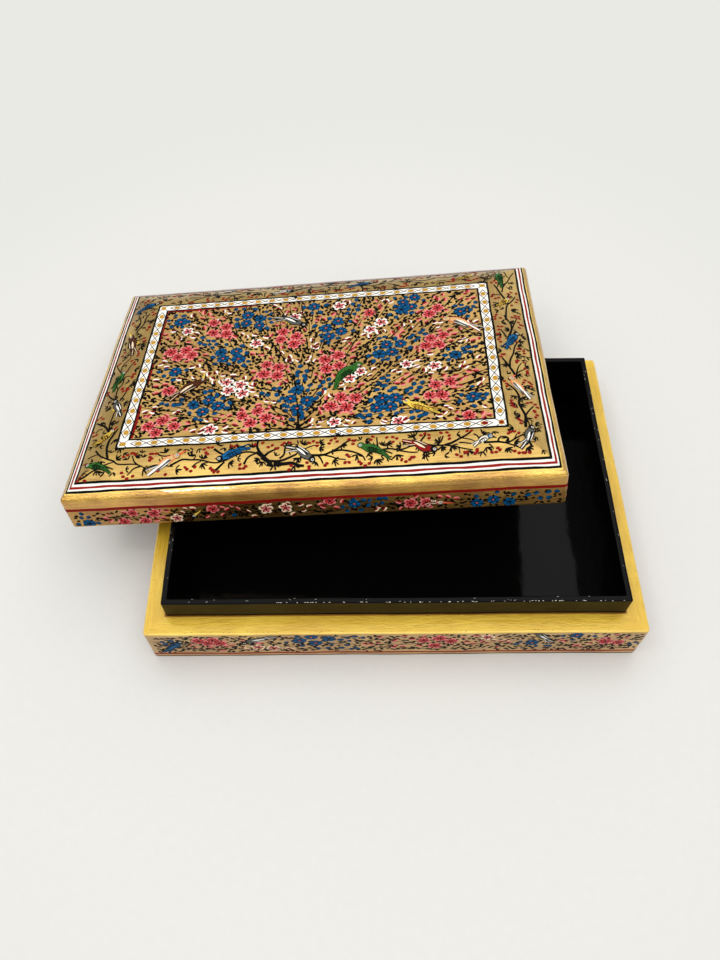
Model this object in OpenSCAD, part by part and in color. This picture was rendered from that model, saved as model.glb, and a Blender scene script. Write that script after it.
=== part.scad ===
// A flat, painted papier mache box: a tray with a raised collar, and a deep lift-off lid.
// Millimetres. The origin is the middle of the face that the box stands on, +X is to the right,
// +Y to the back and +Z up. The lid lies ajar, as it was put down, or closed.

/* [Box] */
// Length of the box, outside
box_l = 254; // [180:1:330]
// Width of the box, outside, front to back
box_w = 178; // [120:1:220]
// Rounding of the four upright corners
corner_r = 2; // [0.5:0.5:4]
// Rounding of the long outer edges of the walls
edge_r = 1; // [0.4:0.2:2]

/* [Tray] */
// Height of the outer walls, up to the ledge that carries the lid
ledge_h = 29.2; // [18:0.2:50]
// Thickness of the outer walls, which is the width of the ledge
ledge_w = 10.6; // [6:0.2:16]
// Thickness of the bottom board
floor_t = 3; // [2:0.5:6]
// Height of the collar above the ledge
collar_rise = 14.2; // [6:0.2:16]
// Thickness of the collar strips
collar_t = 3; // [2:0.2:5]
// Rounding of the collar's top edges
collar_edge_r = 0.7; // [0.3:0.1:0.9]

/* [Lid] */
// Depth of the lid, inside
lid_depth = 18.4; // [17:0.2:22]
// Height of the upright outer side above that depth, up to where the nose starts
side_rise = 0.6; // [0:0.1:2]
// Rise of the moulded top, from the upright side to the flat middle
crown_rise = 11; // [8:0.5:16]
// Play of the closed lid round the collar, on each side
lid_play = 0.6; // [0.3:0.1:1.5]
// Thickness of the board under the moulded top
lid_board_t = 4.6; // [3:0.2:6]
// Width of the curved border, up to the flat middle
crown_run = 30; // [26:1:32]
// Radius of the lid's nose, where the border meets the side
nose_r = 3.2; // [2.4:0.2:4]

/* [How the lid lies] */
// The lid leans on the collar, or it is closed
lid_place = "ajar"; // ["ajar", "closed"]
// Where the lid's front wall crosses the left of the collar, from the collar's front
lean_from_front = 54.3; // [40:0.1:65]
// Where the lid's right wall crosses the back of the collar, from the collar's right end
lean_from_right = 38.7; // [28:0.1:50]
// Turn of the lid, seen from above
lean_turn = -1; // [-2:0.1:1]
// Gap left where the lid touches the collar
touch_gap = 0.3; // [0.2:0.1:0.5]

/* [Hidden] */
$fn = 64;

// Steps along each rounded edge, and along the wide curve of the lid's border
edge_steps = 4;
crown_steps = 10;

// The collar stands inside the outer walls, on the bottom board
collar_l = box_l - 2 * ledge_w;
collar_w = box_w - 2 * ledge_w;
collar_top = ledge_h + collar_rise;

// The lid's walls are as thick as the ledge is wide, less the play
lid_wall_t = ledge_w - lid_play;

// The nose starts where the upright side ends, and its centre is nose_r inside the side. The border's
// curve touches the nose from outside and ends level with the flat middle, which gives its radius.
nose_z = lid_depth + side_rise;
lid_h = nose_z + crown_rise;
crown_r = (pow(crown_run - nose_r, 2) + pow(crown_rise, 2) - pow(nose_r, 2)) / (2 * (crown_rise - nose_r));
crown_centre_z = lid_h - crown_r;
// Direction from the curve's centre to the point where the nose touches it
nose_end = atan2(nose_z - crown_centre_z, nose_r - crown_run);

// The lid lies on three points. Its front wall crosses the collar's left edge at touch_left, its right
// wall crosses the collar's back edge at touch_back, and the collar's back left corner holds up the
// underside of its board. It turns about the line between the first two until it meets the third.
touch_left = [-collar_l / 2, -collar_w / 2 + lean_from_front, collar_top];
touch_back = [collar_l / 2 - lean_from_right, collar_w / 2, collar_top];
touch_span = norm(touch_back - touch_left);
touch_line = (touch_back - touch_left) / touch_span;
corner_away = abs(cross(
    [-collar_l / 2 - touch_left[0], collar_w / 2 - touch_left[1]],
    [touch_line[0], touch_line[1]]
));
lean_tilt = asin(lid_depth / corner_away);
// The same line, in the closed lid's own directions, and where along the lid's front it starts
touch_turn = atan2(touch_line[1], touch_line[0]) - lean_turn;
touch_start = box_l / 2 - lid_wall_t - touch_span * cos(touch_turn);

// Points along an arc, from one angle to another
function arc(x, y, r, from, to, steps) =
    [for (i = [0:steps]) let (a = from + (to - from) * i / steps) [x + r * cos(a), y + r * sin(a)]];

// Section of a wall whose outer face is at 0, with its outer edges rounded where asked
function wall_section(t, h, low_r, high_r) = concat(
    [[t, 0]],
    low_r > 0 ? arc(low_r, low_r, low_r, 270, 180, edge_steps) : [[0, 0]],
    high_r > 0 ? arc(high_r, h - high_r, high_r, 180, 90, edge_steps) : [[0, h]],
    [[t, h]]
);

// Section of a strip with both top edges rounded
function strip_section(t, h, r) = concat(
    [[t, 0], [0, 0]],
    arc(r, h - r, r, 180, 90, edge_steps),
    arc(t - r, h - r, r, 90, 0, edge_steps)
);

// What is taken off the lid's upper edges: all that lies over the nose and the border's curve
function crown_waste() = concat(
    [[-1, nose_z]],
    arc(nose_r, nose_z, nose_r, 180, nose_end, edge_steps),
    arc(crown_run, crown_centre_z, crown_r, nose_end, 90, crown_steps),
    [[crown_run, lid_h + 1], [-1, lid_h + 1]]
);

// A plate with round upright corners, its middle at the origin
module plate(l, w, r, h) {
    linear_extrude(h) {
        square([l - 2 * r, w], center = true);
        square([l, w - 2 * r], center = true);
        for (x = [-1, 1], y = [-1, 1])
            translate([x * (l / 2 - r), y * (w / 2 - r)]) circle(r);
    }
}

// Puts a side that is drawn along X, with its outer face at y = 0, on the front (0), right (1),
// back (2) or left (3) of a frame
module on_side(side, l, w) {
    rotate([0, 0, 90 * side]) translate([0, -(side % 2 == 0 ? w : l) / 2, 0]) children();
}

// A section run along a side. Its X points inwards, and its Y points up.
module run_along(length) {
    rotate([90, 0, 90]) linear_extrude(length, center = true) children();
}

// One side of a frame, cut at 45 degrees where it meets its neighbours
module mitred_side(side, l, w, t, h) {
    length = side % 2 == 0 ? l : w;
    on_side(side, l, w) intersection() {
        run_along(length) children();
        linear_extrude(h) polygon([
            [-length / 2, 0], [length / 2, 0], [length / 2 - t, t], [-length / 2 + t, t]
        ]);
    }
}

// A wall of the tray, from the table up to the ledge
module base_wall(side) {
    color("goldenrod") intersection() {
        mitred_side(side, box_l, box_w, ledge_w, ledge_h)
            polygon(wall_section(ledge_w, ledge_h, edge_r, edge_r));
        plate(box_l, box_w, corner_r, ledge_h);
    }
}

// A strip of the collar, from the bottom board up to the collar's top
module collar_strip(side) {
    strip_h = collar_top - floor_t;
    color("#15151a") translate([0, 0, floor_t]) mitred_side(side, collar_l, collar_w, collar_t, strip_h)
        polygon(strip_section(collar_t, strip_h, collar_edge_r));
}

// Puts what is drawn as the closed lid, standing at z = 0, where the lid lies
module in_lid_place() {
    if (lid_place == "closed")
        translate([0, 0, ledge_h]) children();
    else
        translate(touch_left + [0, 0, touch_gap])
            rotate(a = -lean_tilt, v = touch_line)
                rotate([0, 0, lean_turn])
                    translate([-touch_start, box_w / 2 - lid_wall_t, 0])
                        children();
}

// A wall of the lid, from its rim up to the board
module lid_wall(side) {
    color("goldenrod") in_lid_place() intersection() {
        mitred_side(side, box_l, box_w, lid_wall_t, lid_depth)
            polygon(wall_section(lid_wall_t, lid_depth, edge_r, 0));
        plate(box_l, box_w, corner_r, lid_depth);
    }
}

// A level slice of the lid's top, with the border's curve and the nose on all four sides
module crown_slice(low, high) {
    difference() {
        translate([0, 0, low]) plate(box_l, box_w, corner_r, high - low);
        for (side = [0:3])
            on_side(side, box_l, box_w) run_along(box_l + 2) polygon(crown_waste());
    }
}

module base_floor_board() {
    color("#1b1b20") translate([-collar_l / 2, -collar_w / 2, 0]) cube([collar_l, collar_w, floor_t]);
}

module base_front_wall() {
    base_wall(0);
}

module base_right_wall() {
    base_wall(1);
}

module base_back_wall() {
    base_wall(2);
}

module base_left_wall() {
    base_wall(3);
}

module collar_front_strip() {
    collar_strip(0);
}

module collar_right_strip() {
    collar_strip(1);
}

module collar_back_strip() {
    collar_strip(2);
}

module collar_left_strip() {
    collar_strip(3);
}

module lid_front_wall() {
    lid_wall(0);
}

module lid_right_wall() {
    lid_wall(1);
}

module lid_back_wall() {
    lid_wall(2);
}

module lid_left_wall() {
    lid_wall(3);
}

module lid_board() {
    color("#2a2622") in_lid_place() crown_slice(lid_depth, lid_depth + lid_board_t);
}

module lid_crown() {
    color("#b98c46") in_lid_place() crown_slice(lid_depth + lid_board_t, lid_h);
}

base_floor_board();
base_front_wall();
base_back_wall();
base_left_wall();
base_right_wall();
collar_front_strip();
collar_back_strip();
collar_left_strip();
collar_right_strip();
lid_front_wall();
lid_back_wall();
lid_left_wall();
lid_right_wall();
lid_board();
lid_crown();
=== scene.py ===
"""A flat papier mache box, gold painted outside and black lacquered inside, with flowers, birds and lines
painted by hand on its lid and its sides. The lid leans on the tray's collar, as it was put down.

Lengths are millimetres until a mesh is made. Every shape is a numpy grid or a profile carried round the
box.
"""

import bpy
import numpy as np
from mathutils import Matrix, Vector


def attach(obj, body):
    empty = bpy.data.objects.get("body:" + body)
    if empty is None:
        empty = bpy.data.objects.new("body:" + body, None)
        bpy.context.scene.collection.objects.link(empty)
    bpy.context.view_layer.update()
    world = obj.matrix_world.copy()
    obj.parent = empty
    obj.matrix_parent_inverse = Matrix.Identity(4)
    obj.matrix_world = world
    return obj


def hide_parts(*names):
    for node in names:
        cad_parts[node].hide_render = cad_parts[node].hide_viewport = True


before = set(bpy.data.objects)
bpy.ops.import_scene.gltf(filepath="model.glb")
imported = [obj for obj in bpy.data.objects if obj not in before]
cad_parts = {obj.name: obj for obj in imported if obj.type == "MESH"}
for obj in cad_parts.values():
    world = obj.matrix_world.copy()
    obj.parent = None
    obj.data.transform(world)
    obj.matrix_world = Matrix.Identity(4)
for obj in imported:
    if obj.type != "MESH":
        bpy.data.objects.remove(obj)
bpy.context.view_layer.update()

# The box's own sizes, as the CAD source has them
BOX_L, BOX_W, CORNER_R = 254.0, 178.0, 2.0
LEDGE_H, LEDGE_W, FLOOR_T = 29.2, 10.6, 3.0
COLLAR_TOP, COLLAR_T, COLLAR_EDGE = 43.4, 3.0, 0.7
LID_DEPTH, LID_WALL, EDGE_R = 18.4, 10.0, 1.0
NOSE_Z, NOSE_R, NOSE_END = 19.0, 3.2, 1.485
LID_TOP, CROWN_RUN, CROWN_R = 30.0, 30.0, 53.141

# Length of the front, right, back and left side
SIDE_L = np.array([BOX_L, BOX_W, BOX_L, BOX_W])
# Where the lid crosses the collar's left and back edges, and the corner that holds up its board; the gap
# that is left at each, and the lid's turn seen from above, in degrees
TOUCH_LEFT, TOUCH_BACK, TOUCH_CORNER = (-116.4, -24.1), (77.7, 78.4), (-116.4, 78.4)
TOUCH_GAP, LID_ASKEW = 0.3, -1.0
# Shifts the unevenness of the tray, so that it is not the lid's
TRAY_WAVES = np.array([31.0, 17.0, 0.0])

# How deep the paint's hidden underside is sunk into what it is painted on
SUNK = -0.12
# How far from the upright corners the paint of the sides stops
CORNER_CLEAR = 1.7
# Inset of the middle of the lid's guard band, and how far apart its dots are, about
GUARD_INSET, DOT_GAP = 29.7, 8.3
# Runs that each long side and each end of a ring of points is divided into, and those of a round corner
ALONG, ACROSS, TURN = 84, 60, 4


# Where the tray and the lid are

def hand(p):
    """How far off true the hand-made papier mache is at each point: a slow and a short wave in each
    direction, 0.1 and 0.04 mm high. The upright ones fade out over the lowest 8 mm, so that foot and rim
    stay flat."""
    x, y, z = p[..., 0], p[..., 1], p[..., 2]
    foot = np.clip(z / 8, 0, 1)
    return np.stack([
        0.10 * np.sin(y / 13 + 1.0) + 0.04 * np.sin(y / 5.1 + z / 6),
        0.10 * np.sin(x / 17 + 2.0) + 0.04 * np.sin(x / 6.1 + z / 5),
        foot * (0.09 * np.sin(x / 14 + 0.4) * np.cos(y / 12) + 0.04 * np.sin(x / 4.7 + y / 6.3)),
    ], -1)


def lean():
    """Turn and shift of the leaning lid. It lies on two points of the collar's edge and turns about the line
    between them until its board meets the collar's back left corner."""
    left, back, corner = (Vector((*place, COLLAR_TOP)) for place in (TOUCH_LEFT, TOUCH_BACK, TOUCH_CORNER))
    line, span = (back - left).normalized(), (back - left).length
    away = (corner - left).cross(line).length
    askew = np.radians(LID_ASKEW)
    turn = Matrix.Rotation(-np.arcsin(LID_DEPTH / away), 3, line) @ Matrix.Rotation(askew, 3, "Z")
    start = BOX_L / 2 - LID_WALL - span * np.cos(np.arctan2(line.y, line.x) - askew)
    shift = left + Vector((0, 0, TOUCH_GAP)) + turn @ Vector((-start, BOX_W / 2 - LID_WALL, 0))
    return np.array(turn), np.array(shift)


LID_TURN, LID_SHIFT = lean()


def place_lid(p):
    """Points of the closed lid, standing at height 0, brought to where the lid leans."""
    return (p + hand(p)) @ LID_TURN.T + LID_SHIFT


def place_tray(p):
    """Points of the tray, which stands where it is drawn."""
    return p + hand(p + TRAY_WAVES)


def crown(d):
    """Height and slope of the lid's top at d in from its side: the nose's circle, then the wide curve that
    touches it, then flat."""
    d = np.clip(d, 1e-3, None)
    nose = np.sqrt(np.clip(NOSE_R**2 - (NOSE_R - d)**2, 1e-6, None))
    left = np.clip(CROWN_RUN - d, 0, None)
    wide = np.sqrt(CROWN_R**2 - left**2)
    high = np.where(d < NOSE_END, NOSE_Z + nose, LID_TOP - CROWN_R + wide)
    return high, np.where(d < NOSE_END, (NOSE_R - d) / nose, left / wide)


def insets(x, y):
    """How far in each place is from the nearer end of the box, and from its nearer long side."""
    return BOX_L / 2 - abs(x), BOX_W / 2 - abs(y)


def moved_out(x, y, out):
    """Plan places moved straight out towards the nearest side."""
    from_end, from_long = insets(x, y)
    by_end = from_end < from_long
    return x + np.where(by_end, np.sign(x) * out, 0), y + np.where(by_end, 0, np.sign(y) * out)


def lid_top(u, v, h):
    """Point over the lid's top at plan place (u, v), raised by h along the surface's normal."""
    u, v, h = np.broadcast_arrays(u, v, h)
    high, slope = crown(np.minimum(*insets(u, v)))
    up = h / np.sqrt(1 + slope**2)
    return place_lid(np.stack([*moved_out(u, v, slope * up), high + up], -1))


def tray_top(height):
    """Surface over the tray, whose height at each inset is given by a function."""
    def surface(u, v, h):
        u, v, h = np.broadcast_arrays(u, v, h)
        return place_tray(np.stack([u, v, height(np.minimum(*insets(u, v))) + h], -1))
    return surface


def on_side(side, along, inset):
    """Plan place at a distance along the front (0), right (1), back (2) or left (3) side and in from it."""
    x, y = along, inset - SIDE_L[side - 1] / 2
    return [(x, y), (-y, x), (-x, -y), (y, -x)][side]


def side_face(place, side, low, high):
    """Surface of one upright side between two heights: along it, up it and out from it. Paint that would run
    past the heights or round the corners stops there."""
    half = SIDE_L[side] / 2 - CORNER_CLEAR

    def surface(s, z, h):
        s, z, h = np.broadcast_arrays(np.clip(s, -half, half), np.clip(z, low, high), h)
        return place(np.stack([*on_side(side, s, -h), z], -1))
    return surface


# Finishes

def linear(colour):
    """Linear red, green, blue and alpha of an sRGB hex colour."""
    c = np.array([int(colour[i:i + 2], 16) for i in (1, 3, 5)]) / 255
    return (*np.where(c <= 0.04045, c / 12.92, ((c + 0.055) / 1.055)**2.4), 1.0)


def add(tree, kind, inputs=(), **settings):
    """Adds a node with its settings. Its inputs, by name or in their own order, each get a value or a link
    from an output, which is a node's first one when the node itself is given. The order for a range is the
    value, the two limits that it has and the two that it gets."""
    node = tree.nodes.new("ShaderNode" + kind)
    for key, value in settings.items():
        setattr(node, key, value)
    for socket, value in inputs.items() if isinstance(inputs, dict) else enumerate(inputs):
        if isinstance(value, bpy.types.Node):
            value = value.outputs[0]
        if isinstance(value, bpy.types.NodeSocket):
            tree.links.new(value, node.inputs[socket])
        else:
            node.inputs[socket].default_value = value
    return node


def new_finish(name):
    """An empty material of that name, and its node tree."""
    material = bpy.data.materials.new(name)
    material.use_nodes = True
    material.node_tree.nodes.clear()
    return material, material.node_tree


def brushed_gold(name, light, deep, metal, rough, brush=1.0, crinkle=1.0, coat=0.3, fold=(0.36, 1.1, 1.0),
                 glaze=0.12):
    """Bronze-powder gold paint, brushed on by hand and varnished. The powder lies in streaks along the
    brush's way, about 0.6 mm wide and 14 mm long, thinner and browner between them; the varnish is glossy,
    with low brush ridges, short wrinkles about 2.5 mm long where it dried thick, and a few pits where dust
    fell in. The varnish levels all but a twenty-fifth of the ridges for its own gloss."""
    material, tree = new_finish(name)
    mm = add(tree, "UVMap", uv_map="mm").outputs["UV"]
    along = add(tree, "Mapping", {"Vector": mm, "Scale": (0.07, 1.5, 1.0)}).outputs[0]
    streak = add(tree, "TexNoise", {"Vector": along, "Scale": 1.0, "Detail": 5.0, "Roughness": 0.65})
    short = add(tree, "Mapping", {"Vector": mm, "Scale": fold}).outputs[0]
    crease = add(tree, "TexNoise", {"Vector": short, "Scale": 1.0, "Detail": 3.0, "Distortion": 0.8})
    body = add(tree, "TexCoord").outputs["Object"]
    cloud = add(tree, "TexNoise", {"Vector": body, "Scale": 45.0, "Detail": 3.0})
    grain = add(tree, "TexNoise", {"Vector": body, "Scale": 1600.0, "Detail": 2.0})
    pit = add(tree, "TexVoronoi", {"Vector": body, "Scale": 150.0, "Randomness": 1.0})
    speck = add(tree, "MapRange", [pit.outputs["Distance"], 0.055, 0.03, 0.0, 0.7])
    part = add(tree, "Math", [streak, cloud], operation="ADD")
    whole = add(tree, "Math", [crease, 0.25, part], operation="MULTIPLY_ADD")
    fade = add(tree, "MapRange", [whole, 0.86, 1.39, 0.0, 1.0])
    ramp = add(tree, "ValToRGB", {"Fac": fade})
    for stop, colour in zip(ramp.color_ramp.elements, (deep, light)):
        stop.color = linear(colour)
    dirty = add(tree, "MixRGB", {"Fac": speck, "Color1": ramp, "Color2": linear("#4A3214")})
    matt = add(tree, "MapRange", [streak, 0.3, 0.7, rough + 0.08, rough - 0.06])
    ridge = add(tree, "Math", [grain, 0.25, streak], operation="MULTIPLY_ADD")
    wrinkled = add(tree, "Math", [crease, crinkle, ridge], operation="MULTIPLY_ADD")
    sunk = add(tree, "Math", [wrinkled, speck], operation="SUBTRACT")
    brushed, levelled = (add(tree, "Bump", {"Height": sunk, "Strength": 0.5, "Distance": metres * brush})
                         for metres in (0.00016, 0.000006))
    skin = add(tree, "BsdfPrincipled", {
        "Base Color": dirty, "Metallic": metal, "Roughness": matt, "Coat Weight": coat,
        "Coat Roughness": glaze, "Normal": brushed, "Coat Normal": levelled})
    add(tree, "OutputMaterial", {"Surface": skin})
    return material


def black_lacquer():
    """Black spirit lacquer brushed over the bare papier mache and rubbed: close to pure black, a soft gloss,
    and low uneven waves from the pulp under it, about 20 mm apart."""
    material, tree = new_finish("black lacquer")
    body = add(tree, "TexCoord").outputs["Object"]
    wave = add(tree, "TexNoise", {"Vector": body, "Scale": 55.0, "Detail": 2.0})
    nap = add(tree, "TexNoise", {"Vector": body, "Scale": 900.0, "Detail": 3.0})
    high = add(tree, "Math", [nap, 0.06, wave], operation="MULTIPLY_ADD")
    bump = add(tree, "Bump", {"Height": high, "Strength": 0.5, "Distance": 0.0004})
    matt = add(tree, "MapRange", [nap, 0.3, 0.7, 0.06, 0.12])
    skin = add(tree, "BsdfPrincipled", {
        "Base Color": linear("#050505"), "Roughness": matt, "Specular IOR Level": 0.085,
        "Normal": bump})
    add(tree, "OutputMaterial", {"Surface": skin})
    return material


def poster_paint(name, colour, thin=0.12, rough=0.42, gloss=0.1):
    """Pigment in gum, laid on with a fine brush and varnished over: one strong colour, a little thinner or
    thicker from daub to daub, with a soft gloss."""
    material, tree = new_finish(name)
    tone = add(tree, "Attribute", attribute_name="tone").outputs["Fac"]
    body = add(tree, "TexCoord").outputs["Object"]
    load = add(tree, "TexNoise", {"Vector": body, "Scale": 700.0, "Detail": 2.0})
    much = add(tree, "Math", [tone, 0.6, load], operation="MULTIPLY_ADD")
    shade = add(tree, "MapRange", [much, 0.4, 1.2, 1 - thin, 1 + thin])
    hue = add(tree, "HueSaturation", {"Color": linear(colour), "Value": shade})
    skin = add(tree, "BsdfPrincipled", {
        "Base Color": hue, "Roughness": rough, "Specular IOR Level": gloss,
        "Coat Weight": 0.4 * gloss, "Coat Roughness": 0.12})
    add(tree, "OutputMaterial", {"Surface": skin})
    return material


# The gold paint of each place: its two tones, how metallic and how rough it is, and its varnish. The lid has
# one gold; its border, nose, strip under the nose and sides take copies of it, toned for how light falls
# on each: painted highlight and shade
GOLD = brushed_gold("bronze powder gold paint of the lid", "#F0C470", "#C0904A", 0.7, 0.36)
BORDER_GOLD = brushed_gold("bronze powder gold paint of the border", "#D8B45C", "#A07A38", 0.75, 0.32,
                           coat=0.5)
# The nose's copy of the lid's gold, lighter on top and browner in its streaks: painted highlight and shade
NOSE_GOLD = brushed_gold("bronze powder gold paint of the nose", "#F8C858", "#A06A24", 0.82, 0.26,
                         brush=1.8, crinkle=2.5, coat=1.0, fold=(0.5, 1.4, 1.0), glaze=0.045)
# The sides' copy of the lid's gold, in darker tones: painted shade; being more metallic, it also mirrors the
# dark tray
LID_SIDE_GOLD = brushed_gold("bronze powder gold paint of the lid sides", "#CC9E54", "#845A28", 0.85, 0.28)
# The upright strip under the nose, down to the red line: the lid's gold in lighter tones than the sides',
# painted light
UNDER_NOSE_GOLD = brushed_gold("bronze powder gold paint under the nose", "#EEB858", "#A46E30", 0.7, 0.3,
                               brush=2.0, coat=0.5)
SIDE_GOLD = brushed_gold("bronze powder gold paint of the tray sides", "#E0B874", "#A87E46", 0.45, 0.42,
                         brush=1.6, crinkle=1.5)
LEDGE_GOLD = brushed_gold("bronze powder gold paint of the ledge", "#F2CB3E", "#D8AA2A", 0.2, 0.42,
                          brush=2.4, crinkle=2.0, coat=0.4, fold=(0.2, 0.6, 1.0), glaze=0.06)
# A pale gold that paints the highlights along the ledge's rounded outer edge and along the top of the lid's
# nose: painted highlight
RIM_HIGHLIGHT_GOLD = brushed_gold("thick bronze powder gold paint on the ledge's rim", "#FADC6C", "#E8BE4C", 0.2, 0.35,
                        crinkle=2.0, coat=0.5)
# A darker gold on the ledge's narrow strip along the collar: painted shade where the collar meets the ledge
COLLAR_SHADE_GOLD = brushed_gold("thin bronze powder gold paint along the collar", "#C88E34", "#9C6A22", 0.2, 0.5)
LACQUER = black_lacquer()
BLACK = poster_paint("lamp black paint", "#080704", gloss=0.04)
WHITE = poster_paint("zinc white paint", "#FAF6EC", thin=0.04)
# Cream is also the colour of the white blossoms on the upright sides, where it stands for their shade:
# painted shade
CREAM = poster_paint("cream paint", "#F4DCB8", thin=0.05)
RED = poster_paint("vermilion red paint", "#98201A", gloss=0.05)
DARK_RED = poster_paint("lac red paint", "#86120F", gloss=0.05)
BLUE = poster_paint("prussian blue paint", "#00446E", gloss=0.05)
# Also paints the sheen on the blue petals
PALE_BLUE = poster_paint("azurite blue paint", "#0E5F92", gloss=0.05)
PINK = poster_paint("rose pink paint", "#EA8684")
DEEP_PINK = poster_paint("deep rose paint", "#D2484C")
ORANGE = poster_paint("red lead orange paint", "#E8603C")
OCHRE = poster_paint("yellow ochre paint", "#C0902E")
GREEN = poster_paint("leaf green paint", "#2E6A22")
DARK_GREEN = poster_paint("dark green paint", "#143C12", gloss=0.05)
YELLOW = poster_paint("gamboge yellow paint", "#F0CA50")
BROWN = poster_paint("burnt umber paint", "#4E2814", gloss=0.05)
DARK_BROWN = poster_paint("dark umber paint", "#28120A", gloss=0.05)
GREY = poster_paint("slate grey paint", "#54544E")
PALE = poster_paint("pale drab paint", "#D2C6A8")
TAN = poster_paint("thin fawn paint", "#DCAE74")
# Also the colour of the painted glints along the front collar
CHIP_AND_GLINT = poster_paint("bare pulp in the chips", "#D8D2C0")


# Meshes

def build(name, parts, body, stands_for=()):
    """One object from its parts, with each face's finish and place in the millimetre map, in metres."""
    paints, points, tones, loops, sizes, finish, maps, smooth = [], [], [], [], [], [], [], []
    start = 0
    for part in parts:
        for material in part["paints"]:
            if material not in paints:
                paints.append(material)
        lookup = np.array([paints.index(m) for m in part["paints"]])
        for faces, which, uv in zip(part["faces"], part["which"], part["uv"]):
            count, corners = faces.shape
            loops.append((faces + start).ravel())
            sizes.append(np.full(count, corners))
            finish.append(np.broadcast_to(lookup[which], count))
            maps.append(np.zeros((count * corners, 2)) if uv is None else uv.reshape(-1, 2))
            smooth.append(np.full(count, part["smooth"]))
        points.append(part["points"].reshape(-1, 3))
        tones.append(np.broadcast_to(part["tone"], len(points[-1])))
        start += len(points[-1])
    points, loops, sizes = np.concatenate(points) * 0.001, np.concatenate(loops), np.concatenate(sizes)
    mesh = bpy.data.meshes.new(name)
    mesh.vertices.add(len(points))
    mesh.vertices.foreach_set("co", points.ravel())
    mesh.loops.add(len(loops))
    mesh.loops.foreach_set("vertex_index", loops.astype(np.int32))
    mesh.polygons.add(len(sizes))
    mesh.polygons.foreach_set("loop_start", np.concatenate([[0], np.cumsum(sizes)[:-1]]).astype(np.int32))
    for material in paints:
        mesh.materials.append(material)
    mesh.polygons.foreach_set("material_index", np.concatenate(finish).astype(np.int32))
    mesh.polygons.foreach_set("use_smooth", np.concatenate(smooth))
    mesh.uv_layers.new(name="mm").data.foreach_set("uv", np.concatenate(maps).ravel())
    mesh.attributes.new("tone", "FLOAT", "POINT").data.foreach_set("value", np.concatenate(tones))
    mesh.update(calc_edges=True)
    mesh.validate()
    piece = bpy.data.objects.new(name, mesh)
    bpy.context.scene.collection.objects.link(piece)
    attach(piece, body)
    if stands_for:
        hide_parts(*stands_for)


def part(points, faces, paints, which=None, uv=None, tone=0.5, smooth=False):
    """Points and faces of one part, as build() takes them."""
    return {"points": points, "faces": faces, "paints": paints, "which": which or [0] * len(faces),
            "uv": uv or [None] * len(faces), "tone": tone, "smooth": smooth}


def rings(inset, radius, turn=TURN):
    """Nested rectangles with round corners, anticlockwise from the front left. Each side is a straight run of
    points and each corner a quarter circle. Also gives how far along its side each edge starts and ends."""
    inset, radius = np.asarray(inset, float)[:, None], np.asarray(radius, float)[:, None]
    quarter = np.linspace(0, np.pi / 2, turn + 1)[None]
    plan, starts, ends = [], [], []
    for side, runs in enumerate((ALONG, ACROSS, ALONG, ACROSS)):
        half = SIDE_L[side] / 2 - inset - radius
        run = half * np.linspace(-1, 1, runs + 1)[None]
        x = np.concatenate([run[:, :-1], half + radius * np.sin(quarter[:, :-1])], 1)
        back = np.concatenate([run[:, :-1] * 0, radius * (1 - np.cos(quarter[:, :-1]))], 1)
        plan.append(np.stack(on_side(side, x, inset + back), -1))
        bend = half + radius * quarter
        starts.append(1000 * side + np.concatenate([run[:, :-1], bend[:, :-1]], 1))
        ends.append(1000 * side + np.concatenate([run[:, 1:], bend[:, 1:]], 1))
    return np.concatenate(plan, 1), np.concatenate(starts, 1), np.concatenate(ends, 1)


def ring_faces(rows, count, loop=True):
    """Four-cornered faces between each closed row of points and the next; in a loop the last row meets the
    first."""
    k, j = np.arange(rows if loop else rows - 1)[:, None], np.arange(count)
    below, beside = (k + 1) % rows, (j + 1) % count
    return np.stack([k * count + j, below * count + j, below * count + beside, k * count + beside], -1)


def shell(rows, place, paints, which, loop=False, corner=CORNER_R):
    """A closed shell of rounded rectangles, one for each row of inset and height. The rows run from the
    middle of the top outwards, down and back in. They either meet again or are closed in the middle."""
    inset, height = np.asarray(rows, float).T
    plan, starts, ends = rings(inset, np.maximum(corner - inset, 0.5))
    tall, count = plan.shape[:2]
    points = np.concatenate([plan, np.broadcast_to(height[:, None, None], (tall, count, 1))], -1)
    k = np.arange(tall if loop else tall - 1)
    below = (k + 1) % tall
    went = np.concatenate([[0], np.cumsum(np.hypot(np.diff(inset), np.diff(height)))])
    high = np.broadcast_to(went[k][:, None], (len(k), count))
    low = high + np.hypot(inset[below] - inset[k], height[below] - height[k])[:, None]
    uv = np.stack([np.stack([starts[k], high], -1), np.stack([starts[below], low], -1),
                   np.stack([ends[below], low], -1), np.stack([ends[k], high], -1)], 2)
    faces, maps = [ring_faces(tall, count, loop).reshape(-1, 4)], [uv.reshape(-1, 4, 2)]
    finish = [np.repeat(np.asarray(which)[k], count)]
    if not loop:
        far = ALONG + TURN + ACROSS + TURN
        i = np.arange(ALONG)
        strip = np.stack([i, i + 1, far + ALONG - 1 - i, far + ALONG - i], -1)
        right = np.arange(ALONG, far + 1)[None]
        left = np.append(np.arange(far + ALONG, count), 0)[None]
        for row, way in ((0, 1), (tall - 1, -1)):
            for cap in (strip, right, left):
                faces.append(row * count + cap[:, ::way])
                finish.append(np.full(len(cap), which[min(row, tall - 2)]))
                maps.append(plan[row][cap[:, ::way]])
    return part(place(points), faces, paints, finish, maps, smooth=True)


# The brush

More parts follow.
